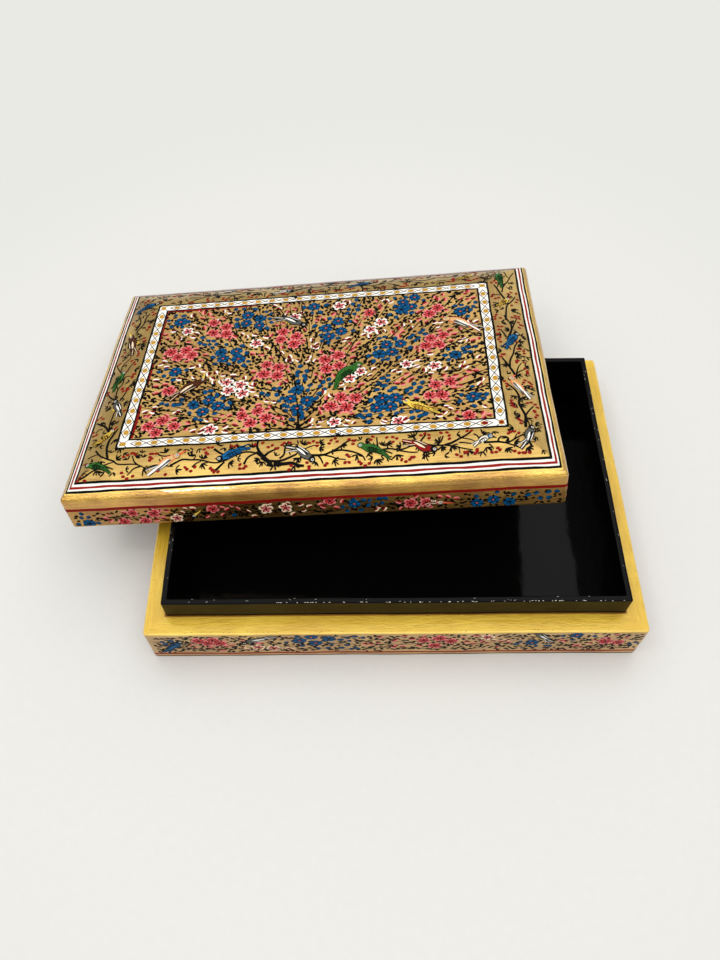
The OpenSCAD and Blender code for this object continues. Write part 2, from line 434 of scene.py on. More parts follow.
def spots(surface, outline, low, rise, paint, tone=0.5):
    """Flat daubs of paint. Each row of outline is the rim of one daub, anticlockwise; its top is a low tent
    over the rim, and its underside is sunk in the surface."""
    count, n = outline.shape[:2]
    flat = np.concatenate([outline.mean(1, keepdims=True), outline, outline], 1)
    low = np.broadcast_to(np.asarray(low, float).reshape(-1, 1), (count, 1))
    high = np.concatenate([low + rise, np.repeat(low + 0.5 * rise, n, 1), np.full((count, n), SUNK)], 1)
    first = (np.arange(count) * (2 * n + 1))[:, None, None]
    i = np.arange(n)
    j = (i + 1) % n
    fan = first + np.stack([0 * i, 1 + i, 1 + j], -1)
    wall = first + np.stack([1 + i, 1 + n + i, 1 + n + j, 1 + j], -1)
    under = first + (n + 1 + i)[::-1][None]
    tone = np.repeat(np.broadcast_to(tone, count), 2 * n + 1)
    return part(surface(flat[..., 0], flat[..., 1], high),
                [fan.reshape(-1, 3), wall.reshape(-1, 4), under.reshape(-1, n)], [paint], tone=tone)


def daubs(surface, at, angle, length, width, low, rise, paint, corners=8, point=0.0, taper=0.0, bend=0.0,
          tone=0.5):
    """Oval daubs: half the length times the cosine, half the width times the sine. A higher point makes the
    ends sharper, taper makes the far end wider, and bend bows the middle to the left."""
    at = np.asarray(at, float)
    t = 2 * np.pi * np.arange(corners) / corners
    angle, length, width, bend = (np.broadcast_to(np.asarray(a, float), len(at))[:, None]
                                  for a in (angle, length, width, bend))
    x = 0.5 * length * np.cos(t)
    y = 0.5 * width * np.sin(t) * abs(np.sin(t))**point * (1 + taper * np.cos(t)) + bend * np.sin(t)**2
    c, s = np.cos(angle), np.sin(angle)
    outline = np.stack([at[:, :1] + c * x - s * y, at[:, 1:] + s * x + c * y], -1)
    return spots(surface, outline, low, rise, paint, tone)


def lines(surface, path, width, low, rise, paint, tone=0.5):
    """Brush lines. Each row of path is the middle of one line; half the width goes to each side of it,
    square to its way, and its underside is sunk in the surface."""
    path = np.asarray(path, float)
    count, n = path.shape[:2]
    way = np.gradient(path, axis=1)
    way /= np.maximum(np.linalg.norm(way, axis=-1, keepdims=True), 1e-9)
    half = 0.5 * np.broadcast_to(width, (count, n))[..., None] * np.stack([-way[..., 1], way[..., 0]], -1)
    flat = np.stack([path + half, path - half, path - half, path + half], 2)
    high = np.broadcast_to(np.array([low + rise, low + rise, SUNK, SUNK]), (count, n, 4))
    first = (np.arange(count) * 4 * n)[:, None, None, None]
    p, c = np.arange(n - 1)[:, None], np.arange(4)[None]
    d = (c + 1) % 4
    sides = first + np.stack([4 * p + c, 4 * p + d, 4 * p + 4 + d, 4 * p + 4 + c], -1)
    start, end = first[:, 0] + np.array([[3, 2, 1, 0]]), first[:, 0] + 4 * (n - 1) + np.array([[0, 1, 2, 3]])
    tone = np.repeat(np.broadcast_to(tone, count), 4 * n)
    return part(surface(flat[..., 0], flat[..., 1], high),
                [sides.reshape(-1, 4), start.reshape(-1, 4), end.reshape(-1, 4)], [paint], tone=tone)


def frame_line(inset, width, paint, low=0.0, rise=0.03, shake=0.10, seed=0):
    """A line painted round the lid's top, its corners mitred and its edges a little unsteady: nested rings
    that follow the crown, closed below."""
    across = np.linspace(1, -1, max(2, int(np.ceil(width / 1.4)) + 1))
    edge = np.concatenate([across, across[[-1, 0]]])[:, None]
    h = np.concatenate([np.full(len(across), low + rise), [SUNK, SUNK]])
    plan, _, _ = rings(inset + 0.5 * width * edge[:, 0], np.full(len(h), 0.3), 2)
    x, y = plan[..., 0], plan[..., 1]
    from_end, from_long = insets(x, y)
    calm = np.clip((abs(from_end - from_long) - 2) / 6, 0, 1)
    off = shake * calm * (np.sin((x + y) / 5.3 + seed) + 0.6 * np.sin((x - y) / 2.1 + 2 * seed + edge)
                          + 0.5 * edge * np.sin((x - y) / 7.0 + 3 * seed))
    x, y = moved_out(x, y, -off)
    return part(lid_top(x, y, h[:, None]), [ring_faces(*x.shape).reshape(-1, 4)], [paint])


def belt(place, z, width, paint, rise=0.05, shake=0.12, seed=0):
    """A line painted round the upright sides: rings just outside them, closed behind."""
    z = z + width * np.array([0.5, -0.5, -0.5, 0.5])
    out = np.array([rise, rise, SUNK, SUNK])
    plan, _, _ = rings(-out, CORNER_R + out)
    x, y = plan[..., 0], plan[..., 1]
    off = shake * (np.sin((x + y) / 6 + seed) + 0.5 * np.sin((x - y) / 2.3 + seed))
    return part(place(np.stack([x, y, z[:, None] + off], -1)), [ring_faces(*x.shape).reshape(-1, 4)], [paint])


def around(at, angle, far):
    """Places at a distance from others, at an angle."""
    return at + np.stack([np.cos(angle), np.sin(angle)], -1) * np.asarray(far)[..., None]


# Flowers, leaves and birds

# How high each layer of a flower starts: shadows, petals, daubs, strokes and the dot in the middle
SHADOW, PETAL, DAUB, STROKE, MIDDLE = 0.02, 0.05, 0.10, 0.13, 0.16
# A cream blossom is a white one on an upright side, painted cream for the shade that the side is in: painted
# shade
PETALS = {"blue": BLUE, "pink": PINK, "white": WHITE, "cream": CREAM}


def places(text):
    """Places on a surface, written as "along up, along up, ..." in millimetres."""
    return np.array(text.replace(",", " ").split(), float).reshape(-1, 2)


def rounded(path, times):
    """A path whose corners are cut at a quarter and three quarters of each run, so many times over."""
    for _ in range(times):
        cut = np.stack([0.75 * path[:-1] + 0.25 * path[1:], 0.25 * path[:-1] + 0.75 * path[1:]], 1)
        path = np.concatenate([path[:1], cut.reshape(-1, 2), path[-1:]])
    return path


def twig(surface, text, low=0.0, rise=0.03, tip=0.5, turn=1, wide=1.0):
    """One black brush line, written as "width: place, place, ...", its corners rounded. Its width falls
    evenly to tip times what it was."""
    width, path = text.split(":")
    path = rounded(turn * places(path), 2)
    return lines(surface, path[None], wide * float(width) * np.linspace(1, tip, len(path)), low, rise, BLACK)


def blossoms(surface, at, kind, size, rng):
    """Five-petalled blossoms: petals like eggs set round the middle, black shadows between them, darker daubs
    and strokes on them, a paler daub on each blue petal that paints its sheen, and a dark centre, which has
    an orange dot in most blue ones."""
    count = len(at)
    turn = rng.uniform(0, 2 * np.pi, (count, 1)) + np.arange(5) * 2 * np.pi / 5
    middle, angle = np.repeat(at, 5, 0), (turn + rng.normal(0, 0.12, (count, 5))).ravel()
    s = size * (0.93 if kind == "blue" else 1.0)
    s = np.repeat(s * rng.uniform(0.92, 1.08, count), 5) * rng.uniform(0.93, 1.07, len(angle))
    tone = rng.uniform(0, 1, len(angle))
    broad = 0.39 if kind in ("white", "cream") else 0.45
    made = [daubs(surface, around(middle, angle, 0.29 * s), angle, 0.46 * s, broad * s, PETAL, 0.04,
                  PETALS[kind], taper=0.25, tone=tone)]

    def stroke(paint, turned, far, slant, length, width, low, point=0.4, taper=0.0, tone=0.5):
        """A stroke on each petal, turned from the petal's angle. Its distance, length and width are parts of
        the blossom's size."""
        made.append(daubs(surface, around(middle, angle + turned, far * s), angle + slant, length * s,
                          width * s, low, 0.02, paint, corners=6, point=point, taper=taper, tone=tone))

    between = np.pi / 5
    stroke(BLACK, between, 0.42, rng.normal(0.6, 0.3, len(angle)), 0.42, 0.2, SHADOW)
    if kind == "blue":
        # A paler blue daub on each blue petal: painted sheen
        stroke(PALE_BLUE, 0.2, 0.33, 0.5, 0.27, 0.13, DAUB, tone=tone)
        stroke(BLACK, between, 0.24, between, 0.34, 0.06, 0.11)
        made.append(daubs(surface, at, rng.uniform(0, 3, count), 0.24 * size, 0.2 * size, 0.14, 0.02, BLACK,
                          corners=6))
        eyed = rng.uniform(size=count) < 0.85
        made.append(daubs(surface, at[eyed], 0, 0.18 * size, 0.14 * size, 0.17, 0.02, ORANGE, corners=6))
        return made
    if kind == "pink":
        stroke(RED, 0.45, 0.33, 0.3, 0.26, 0.1, STROKE)
        stroke(DEEP_PINK, 0.14, 0.20, 0, 0.38, 0.25, DAUB, point=0.0, taper=0.3, tone=tone)
    else:
        stroke(PINK, 0.05, 0.19, 0, 0.34, 0.22, DAUB, point=0.0, taper=0.3, tone=tone)
    stroke(DARK_RED, -0.3, 0.24, 0, 0.38, 0.13, STROKE)
    made.append(daubs(surface, at, rng.uniform(0, 3, count), 0.25 * size, 0.17 * size, MIDDLE, 0.03, BLACK,
                      corners=6))
    return made


def buds(surface, at, angle, kind, rng, size):
    """Buds and fallen petals, long ovals. A blue one has a black stroke under one side of it. A pink or
    white one has a red stroke over one side and a black one beside it."""
    long = size * rng.uniform(0.82, 1.15, len(at))
    side = rng.choice([-1, 1], len(at)) * np.pi / 2
    broad = 0.66 if kind == "blue" else 0.54
    made = [daubs(surface, at, angle, long, broad * long, PETAL, 0.04, PETALS[kind], corners=7, point=0.2,
                  tone=rng.uniform(0, 1, len(at)))]

    def stroke(paint, off, slant, length, width, low, point=0.4):
        """A stroke along one side of each bud, its distance, length and width parts of the bud's length."""
        made.append(daubs(surface, around(at, angle + side, off * long), angle + slant, length * long,
                          width * long, low, 0.02, paint, corners=6, point=point))

    if kind == "blue":
        stroke(BLACK, 0.27, 0, 0.95, 0.46, SHADOW, point=0.3)
    else:
        stroke(RED if kind == "pink" else DARK_RED, 0.17, 0.2, 0.95, 0.33, DAUB)
        stroke(BLACK, 0.36, -0.2, 0.8, 0.3, SHADOW)
    return made


def tufts(surface, at, angle, rng, count, length, width, fan=0.55):
    """Tufts of leaves: from each place a few bowed flicks of a fine brush fan out, each a pointed oval."""
    way = (np.reshape(angle, (-1, 1)) + np.linspace(-fan, fan, count) * (count > 1)).ravel()
    way = way + rng.normal(0, 0.15, len(way))
    long = length * rng.uniform(0.75, 1.2, len(way))
    root = np.repeat(at, count, 0)
    return daubs(surface, around(root, way, 0.5 * long), way, long, width * rng.uniform(0.85, 1.15, len(way)),
                 0.03, 0.02, BLACK, corners=6, point=0.5, bend=rng.uniform(-0.3, 0.3, len(way)))


def scatter(low, high, gap, rng):
    """Places about gap apart: a staggered grid, each place shaken by a quarter of the gap."""
    x, y = np.meshgrid(np.arange(low[0], high[0], gap), np.arange(low[1], high[1], 0.87 * gap))
    x = x + gap / 2 * (np.arange(len(x)) % 2)[:, None]
    at = np.stack([x, y], -1).reshape(-1, 2) + rng.uniform(-0.26, 0.26, (x.size, 2)) * gap
    return at[np.all((at > low) & (at < high), 1)]


def nearest(at, others):
    """How far each place is from the nearest of some others."""
    return np.min(np.linalg.norm(at[:, None] - others, axis=-1), 1)


def garden(surface, low, high, flowers, heading, rng, size=8.0, bud=3.7, gap=2.65):
    """Ground full of flowers: blossoms and buds of each kind where they are listed, and black leaves on
    every bare place between, one flick or a tuft of them. All lean off the stems' heading, to one side or
    the other."""
    low, high = np.array(low, float), np.array(high, float)

    def aslant(at, least, most):
        """The stems' heading at each place, turned to either side by an angle between two limits."""
        return heading(at[:, 0], at[:, 1]) + rng.choice([-1, 1], len(at)) * rng.uniform(least, most, len(at))

    made = []
    for kind, (blooms, shut) in flowers.items():
        made += blossoms(surface, blooms, kind, size, rng)
        made += buds(surface, shut, aslant(shut, 0.2, 0.9), kind, rng, bud)
    open_flowers, closed_flowers = (np.concatenate([pair[k] for pair in flowers.values()]) for k in (0, 1))
    at = scatter(low + 0.9, high - 0.9, gap, rng)
    at = at[(nearest(at, open_flowers) > 0.53 * size) & (nearest(at, closed_flowers) > 0.62 * bud)]
    angle = aslant(at, 0.15, 0.85)
    lone = rng.uniform(size=len(at)) < 0.7
    made.append(tufts(surface, at[lone], angle[lone], rng, 1, 0.84 * bud, 0.49 * bud))
    made.append(tufts(surface, at[~lone], angle[~lone], rng, 3, 0.66 * bud, 0.34 * bud))
    return made


def grouped(text, low, high):
    """The listed flowers of one side: for each kind, its blossoms and its buds, held inside the band."""
    return {kind: tuple(np.clip(places(t), (-1e3, low), (1e3, high)) for t in pair)
            for kind, pair in text.items()}


# The look of each bird: body, wing, marks on the wing, head, beak, and whether the marks are one long stripe
BIRDS = {
    "brown": (BROWN, DARK_BROWN, CREAM, BROWN, YELLOW, True),
    "grey": (GREY, BLACK, WHITE, BLACK, BLACK, True),
    "green": (GREEN, DARK_GREEN, BLACK, GREEN, DARK_RED, False),
    "pale": (TAN, GREY, WHITE, TAN, ORANGE, True),
    "yellow": (YELLOW, OCHRE, BLACK, YELLOW, RED, False),
    "blue": (PALE_BLUE, BLUE, BLACK, BLACK, BLACK, False),
    "red": (DARK_RED, BROWN, CREAM, BLACK, BLACK, True),
    "white": (PALE, GREY, WHITE, PALE_BLUE, BLACK, False),
    "crested": (GREY, BLACK, WHITE, BLACK, BLACK, True),
    "black": (BLACK, DARK_BROWN, BROWN, BLACK, YELLOW, False),
    "pink": (DEEP_PINK, BROWN, CREAM, CREAM, ORANGE, False),
    "swallow": (BLUE, BLACK, PALE_BLUE, BLACK, BLACK, True),
}
# A bird's strokes are parts of its length, which counts as this much at least
SHORTEST_BIRD = 11.0
# How broad the body is, at parts of the way from the tail's tip to the head
BODY_AT = (0, 0.22, 0.36, 0.5, 0.62, 0.75, 0.88, 1)
BODY_WIDE = (0.06, 0.08, 0.1, 0.19, 0.26, 0.25, 0.16, 0.12)
# How broad the wing is, from the shoulder to its tip
WING_WIDE = np.array([0.03, 0.11, 0.14, 0.13, 0.1, 0.07, 0.02])
# Flecks on breast and back: how far along the body, and how far off its middle
FLECKS = np.array([
    (0.5, -0.07), (0.58, -0.09), (0.66, -0.07), (0.74, -0.03), (0.82, 0.0), (0.7, 0.1), (0.34, 0.0)])
# The two feathers of a crest, from the head, in millimetres
CREST = np.array([[[-0.8, 0.8], [-1.2, 2.4], [-1.3, 4.2]], [[0.2, 1.0], [0.3, 2.6], [0.5, 4.3]]])


def bird(surface, look, back, text):
    """A perching bird, drawn along the places of its tail's tip, rump, shoulder, head and beak's tip. One
    line that swells from the tail to the breast and narrows at the neck lies over a slightly wider black
    one; on it are the wing with its marks, a second tail feather, the head, the beak and the eye. The
    back is to the left of the line (1) or to its right (-1)."""
    body, wing, marks, head, beak, striped = BIRDS[look]
    knots = places(text)
    whole = max(np.linalg.norm(np.diff(knots[:4], axis=0), axis=1).sum(), SHORTEST_BIRD)
    path = rounded(knots[:4], 3)
    went = np.concatenate([[0], np.cumsum(np.linalg.norm(np.diff(path, axis=0), axis=1))])
    way = np.gradient(path, axis=0)
    way /= np.linalg.norm(way, axis=1, keepdims=True)
    made = []

    def at(t, off=0.0):
        """Places at parts t of the way from the tail to the head, off to the back by parts of the length."""
        t = np.asarray(t) * went[-1]
        x, y = np.interp(t, went, path[:, 0]), np.interp(t, went, path[:, 1])
        wx, wy = np.interp(t, went, way[:, 0]), np.interp(t, went, way[:, 1])
        away = back * whole * np.asarray(off)
        return np.stack([x - away * wy, y + away * wx], -1)

    def stroke(path, width, low, paint, rise=0.02):
        """A brush line, or several at once, on the ground or on what is painted already."""
        made.append(lines(surface, path if path.ndim == 3 else path[None], width, low, rise, paint))

    def dot(place, length, width, low, paint, rise=0.02, corners=8):
        """A round daub."""
        made.append(daubs(surface, place[None], 0, length, width, low, rise, paint, corners=corners))

    t = np.linspace(0, 1, 17)
    wide = whole * np.interp(t, BODY_AT, BODY_WIDE)
    wide = wide * (0.8 if look == "pale" else 1.0)
    stroke(at(t), wide + 0.8, 0.13, ORANGE if look == "pale" else BLACK)
    stroke(at(t), wide, 0.15, body, rise=0.03)
    feather = at((0.42, 0.26, 0.04), (-0.03, -0.09, -0.17))
    stroke(feather, (1.2, 1.0, 0.6), 0.14, wing, rise=0.03)
    stroke(feather - [0, 0.25], (0.2, 0.35, 0.2), 0.18, marks)
    t = np.linspace(0.8, 0.28, 7)
    stroke(at(t, 0.05 + 0.07 * (0.8 - t)), whole * WING_WIDE, 0.18, wing, rise=0.03)
    if look == "pale":
        tail = at((0.36, 0.18, -0.02))
        stroke(tail, (1.6, 2.0, 1.6), 0.19, BLACK, rise=0.01)
        stroke(tail, (0.9, 1.3, 0.9), 0.21, WHITE, rise=0.01)
    if striped:
        t = np.array([0.74, 0.6, 0.46, 0.36])
        stroke(at(t, (-0.01, 0.0, 0.01, 0.02)), whole * np.array([0.02, 0.07, 0.06, 0.02]), 0.21, marks)
        stroke(at(t + 0.02, 0.1), (0.2, 0.4, 0.35, 0.2), 0.21, marks)
    else:
        t = np.array([0.45, 0.55, 0.65])
        stroke(np.stack([at(t, 0.13), at(t + 0.05, 0.08), at(t + 0.04, 0.02)], 1), 0.5, 0.21, marks)
        made.append(daubs(surface, at(*FLECKS.T), 0.6, 1.1, 0.55, 0.21, 0.02, marks, corners=6))
        stroke(at((0.78, 0.62, 0.45, 0.3), (0, -0.02, -0.01, 0.02)), (0.3, 0.65, 0.5, 0.3), 0.21, BLACK)
    stroke(at((0.3, 0.16, 0.02)), (0.25, 0.4, 0.25), 0.18, marks)
    skull, tip = knots[3], knots[4]
    out = (tip - skull) / max(np.linalg.norm(tip - skull), 0.1)
    size = max(2.6, 0.19 * whole)
    dot(skull, size + 0.5, size + 0.4, 0.17, BLACK, corners=9)
    dot(skull, size, size - 0.1, 0.19, head, rise=0.03, corners=9)
    stroke(np.stack([skull + 0.3 * size * out, (skull + tip) / 2 + 0.3 * out, tip + 0.5 * out]),
           (1.3, 0.9, 0.25), 0.18, beak, rise=0.03)
    eye = skull + 0.12 * size * out
    dot(eye, 1.9, 1.8, 0.22, BLACK)
    dot(eye, 1.5, 1.45, 0.25, WHITE)
    dot(eye, 0.95, 0.9, 0.28, BLACK, corners=6)
    if look == "crested":
        stroke(skull + CREST, (0.6, 0.45, 0.2), 0.18, BLACK)
    t = np.array([0.52, 0.6])
    legs = np.stack([at(t, -0.09), at(t + 0.02, -0.2)], 1)
    stroke(legs, 0.6, 0.11, YELLOW if look in ("brown", "grey") else BLACK, rise=0.03)
    return made


# The lid's field: a flowering tree whose stems fan out from a stump at the front

STUMP = np.array([-5.5, -57.5])
# Half the field's length and width, and how far out paint on it may reach
FIELD, FIELD_EDGE = np.array([93.8, 55.8]), np.array([94.1, 56.1])
# Blossoms and buds of each kind
FIELD_FLOWERS = {
    "blue": (
        "-84 44, -43 46, -43 38, -35 42, -35 35, -55 12, -46 12, -53 6, -44 5, -79 -3, -64 -32, -56 -29, "
        "-50 -34, -58 -38, -3 50, 12 34, 5 28, 14 24, 7 20, -8 -25, -11 -32, -2 -34, -7 -40, 50 48, "
        "57 52, 49 41, 55 43, 83 35, 40 9, 48 9, 36 1, 43 2, 78 -4, 38 -36, 45 -36, 35 -43, 42 -43, "
        "85 -39",
        "-88 51, -83 50, -92 46, -79 44, -89 40, -82 39, -51 53, -46 53, -49 43, -49 38, -48 35, -68 27, "
        "-64 24, -61 23, -69 22, -66 20, -63 20, -59 20, -61 17, -53 19, -59 8, -57 2, -49 1, -43 17, "
        "-40 10, -38 2, -40 -1, -89 -2, -85 0, -85 -6, -73 -2, -79 -10, -82 -29, -79 -30, -75 -31, "
        "-72 -31, -71 -27, -59 -22, -56 -21, -52 -25, -48 -28, -44 -32, -45 -36, -65 -38, -51 -40, "
        "-61 -43, -58 -44, -39 52, -32 48, -29 46, -29 41, -28 37, -30 32, -34 31, -9 50, 4 51, -4 44, "
        "1 44, 7 37, 19 33, -2 31, 2 22, 3 16, 12 18, 7 14, 21 24, 22 54, 20 50, 24 48, 18 45, 23 44, "
        "17 41, 21 40, -8 -5, -4 -10, -9 -10, -9 -13, -5 -14, -8 -18, -4 -17, -21 -23, -18 -23, -27 -26, "
        "-24 -28, -19 -28, -16 -31, -17 -33, -12 -26, -2 -26, -1 -22, 6 -20, 9 -18, 4 -23, 10 -22, "
        "7 -26, 4 -29, 3 -33, -14 -37, -12 -38, -13 -41, -1 -38, -2 -41, -8 -44, -4 -44, -9 -48, -4 -47, "
        "34 7, 45 53, 52 53, 45 45, 42 37, 46 34, 52 37, 62 49, 61 41, 55 37, 61 20, 59 18, 55 16, "
        "62 16, 53 14, 58 13, 56 11, 45 14, 53 5, 36 15, 39 16, 80 41, 84 41, 92 43, 87 39, 91 39, "
        "89 36, 87 30, 74 1, 82 1, 85 2, 89 2, 83 -2, 86 -2, 72 -4, 74 -8, 29 -45, 31 -48, 26 -48, "
        "28 -50, 30 0, 33 -5, 38 -4, 41 -4, 47 -3, 41 -18, 38 -20, 41 -22, 36 -24, 39 -26, 35 -29, "
        "44 -28, 42 -30, 32 -37, 48 -40, 51 -31, 53 -29, 55 -26, 58 -29, 59 -25, 56 -32, 53 -34, 31 -53, "
        "37 -49, 45 -48, 48 -47, 53 -48, 56 -47, 59 -47, 53 -52, 57 -51, 60 -50, 85 -31, 79 -37, 78 -42, "
        "89 -37, 92 -38, 90 -41, 85 -46"),
    "pink": (
        "-63 41, -55 36, -62 31, -54 29, -85 15, -76 16, -80 10, -72 11, -80 -19, -86 -47, -79 -43, "
        "-72 -48, -81 -52, -20 27, -21 20, -12 22, -13 15, -36 -43, -28 -40, -23 -46, -31 -49, -27 -2, "
        "-20 -5, -28 -10, -20 -12, 6 -1, 13 2, 7 -9, 14 -7, 16 -33, 24 -34, 11 -40, 19 -41, 70 40, "
        "65 35, 30 40, 65 12, 72 14, 62 6, 69 6, 66 -28, 74 -26, 63 -36, 69 -36, 82 -53",
        "-91 33, -89 29, -83 24, -76 24, -70 17, -88 10, -74 6, -64 11, -66 6, -74 55, -71 52, -67 50, "
        "-71 47, -65 47, -58 45, -68 37, -51 24, -49 26, -59 27, -88 -14, -87 -20, -83 -13, -89 -39, "
        "-87 -39, -73 -42, -65 -46, -65 -51, -77 -39, -50 -44, -47 -42, -43 -42, -45 -46, -36 -38, "
        "-34 -54, -39 -49, -24 34, -21 35, -15 29, -27 25, -7 28, -7 18, -8 16, -19 53, -15 49, -19 47, "
        "1 39, -1 36, 4 37, -20 13, -36 9, -31 7, -25 4, -15 -5, -14 -9, 9 7, 3 6, 17 8, 19 12, 21 6, "
        "24 12, 22 9, 21 0, 9 41, 23 37, 27 35, 22 33, 25 29, -15 -17, -24 -17, -18 -19, -34 -7, "
        "-33 -13, -28 -35, -23 -40, -22 -37, -18 -49, -17 -46, -14 -47, -14 -51, -24 -52, 1 -13, 4 -16, "
        "11 -15, 8 -33, 5 -41, 6 -44, 16 -45, 22 -46, 21 -27, 25 -25, 29 -30, 27 -23, 34 52, 36 47, "
        "37 44, 69 51, 71 49, 74 53, 75 48, 87 53, 84 48, 89 55, 88 46, 91 48, 63 45, 59 38, 75 37, "
        "59 30, 63 28, 43 20, 45 18, 47 16, 46 26, 48 23, 49 20, 58 2, 56 5, 70 19, 76 19, 78 15, 82 19, "
        "76 9, 64 1, 88 8, 91 9, 51 -18, 54 -21, 48 -21, 46 -24, 49 -26, 52 -23, 71 -21, 77 -22, 80 -25, "
        "82 -23, 84 -19, 79 -30, 88 -18, 64 -23, 76 -31, 56 -37, 65 -41, 72 -40, 76 -50, 76 -55, 89 -52, "
        "92 -53, 89 -56"),
    "white": (
        "-78 34, -35 18, -48 -15, -40 -18, -46 -22, -38 -25, -52 -52, 12 49, 31 24, 37 30, -14 41, "
        "20 -18, 26 -13, 13 -52, 51 -9, 66 -12, 46 -54",
        "-87 35, -81 28, -74 28, -75 40, -72 32, -78 50, -58 52, -55 50, -61 43, -89 4, -87 7, -85 2, "
        "-76 -10, -68 -9, -89 -9, -90 -35, -85 -32, -86 -36, -73 -37, -71 -36, -55 -45, -56 -51, "
        "-61 -52, -57 -54, -44 -51, -44 -55, -66 1, -70 0, -63 -4, -60 -7, -57 -11, -55 -6, -51 -9, "
        "-56 -14, -52 -14, -45 -9, -38 -12, -41 25, -44 28, -37 26, -30 23, -28 13, -27 54, -24 51, "
        "-10 45, -20 44, -14 4, -16 1, -13 0, -10 0, -19 8, -3 18, 0 14, -2 11, 1 10, -4 -1, -3 2, 0 -1, "
        "15 54, 18 52, 16 15, 18 17, 27 20, 30 18, -33 -18, -34 -20, -33 -24, -30 -28, -24 -33, -20 -34, "
        "7 -28, 10 -31, 1 -50, 1 -54, 6 -51, 5 -55, 20 -51, 23 -53, 19 -55, 31 -16, 16 -23, 18 -26, "
        "38 52, 41 51, 43 49, 35 21, 39 22, 50 26, 55 23, 54 29, 68 26, 71 26, 69 22, 83 10, 81 8, 85 8, "
        "91 25, 87 25, 33 -11, 44 -14, 47 -15, 61 -15, 64 -18, 57 -6, 55 -7, 56 -11, 57 -12, 64 -2, "
        "72 -15, 80 -14, 83 -15, 82 -11, 90 -7, 91 -26, 89 -29, 71 -45, 73 -47, 70 -50, 67 -52, 90 -47, "
        "39 -53, 38 -56, 49 -52, 50 -54"),
}
# The stems run through these places, and the stump's roots have their width before a colon
FIELD_STEMS = (
    "-76 46, -66 38", "-90 39, -81 32, -77 34", "-57 48, -51 39", "-51 24, -44 16", "-50 31, -42 19",
    "-47 35, -41 30", "-83 30, -78 26", "-69 18, -62 13", "-66 9, -62 6, -54 -1, -46 -7", "-90 23, -86 19",
    "-53 2, -45 -2, -39 -7", "-90 18, -86 16", "-25 52, -20 42", "-18 47, -15 41",
    "-11 53, -10 45, -7 35, -6 31", "-40 43, -37 38", "-33 31, -28 24", "-28 32, -24 26", "-40 26, -35 20",
    "-30 21, -24 15, -20 7, -16 -2, -15 -5", "-30 13, -27 9, -25 5", "-15 4, -13 -1, -10 -6",
    "-12 11, -10 6, -10 3", "-6 20, -5 11, -3 3, -2 12", "3 15, 2 9", "-23 34, -21 29", "-11 31, -9 25",
    "-7 31, -6 27", "10 29, 9 25", "14 7, 19 14, 25 24", "17 7, 22 14", "22 4, 27 9, 30 13",
    "24 -4, 27 1, 31 6", "7 -6, 10 -2", "17 35, 20 43, 21 46", "19 19, 23 24", "21 27, 25 35",
    "32 38, 38 46", "41 14, 46 20, 49 25", "49 14, 55 22, 60 29", "62 23, 67 30", "65 19, 70 24",
    "74 41, 79 49, 81 53", "82 42, 85 47", "85 35, 89 40", "71 34, 75 39", "49 27, 51 33", "54 30, 60 37",
    "32 9, 35 13", "43 0, 49 3", "72 3, 78 7, 87 11", "78 10, 81 13", "80 -2, 89 2, 93 5",
    "-61 -13, -56 -16, -53 -18", "-59 -17, -52 -21, -45 -25", "-85 -34, -76 -36, -68 -36",
    "-70 -43, -63 -42", "-66 -48, -58 -47, -50 -47, -43 -49", "-72 -27, -67 -27", "-79 -14, -73 -16",
    "-44 -30, -37 -32, -33 -35", "-43 -36, -36 -38", "-86 -47, -79 -49", "-70 -53, -67 -51",
    "-58 -32, -53 -32", "-54 -42, -47 -44", "-31 -16, -26 -18, -23 -20, -21 -24",
    "-17 -17, -13 -20, -12 -24", "-33 -19, -27 -23", "-12 -13, -10 -17, -10 -20", "-1 -22, 2 -14",
    "6 -17, 9 -13", "1 -31, 3 -26, 6 -23", "4 -36, 7 -31", "-2 -43, 2 -37, 4 -35", "-2 -48, 2 -43",
    "-3 -52, 1 -47", "-25 -35, -19 -38, -15 -40, -10 -45, -9 -48", "-17 -43, -11 -47",
    "6 -51, 12 -47, 18 -43", "17 -52, 19 -49", "25 -31, 29 -27, 31 -25", "27 -34, 31 -30",
    "-32 -29, -27 -31", "31 -30, 34 -26, 39 -22", "31 -21, 35 -15", "46 -26, 52 -20, 59 -13",
    "58 -21, 63 -16", "71 -18, 78 -16, 86 -13", "76 -26, 83 -22, 91 -19", "79 -30, 84 -27, 91 -24",
    "66 -34, 70 -32", "81 -35, 88 -33, 93 -31", "39 -41, 41 -38", "47 -45, 52 -45, 57 -44",
    "75 -54, 80 -54", "38 -7, 35 -10", "82 21, 88 14")
STUMP_ROOTS = (
    "6.5: -5.5 -58, -5.5 -52", "2.2: -5.5 -53.5, -6 -47.5, -7 -37, -8 -31",
    "1.6: -7.5 -54.5, -12.5 -50.5, -18.5 -47.5", "2.0: -7 -56, -13.5 -55, -19.5 -54.5, -21.5 -51.5",
    "2.0: -4 -55.5, -0.5 -54.5, 3 -53.5", "1.5: -4.5 -54, -2 -50", "1.4: -4 -53.5, -0.5 -48.5",
    "1.3: -6.5 -52.5, -9 -48")


def field_face(u, v, h):
    """The lid's top within the field. Paint that would run on to the guard band stops there."""
    return lid_top(np.clip(u, -FIELD_EDGE[0], FIELD_EDGE[0]), np.clip(v, -FIELD_EDGE[1], FIELD_EDGE[1]), h)


def from_stump(x, y):
    """Direction of the stems at a place: straight out from the stump."""
    return np.arctan2(y - STUMP[1], x - STUMP[0])


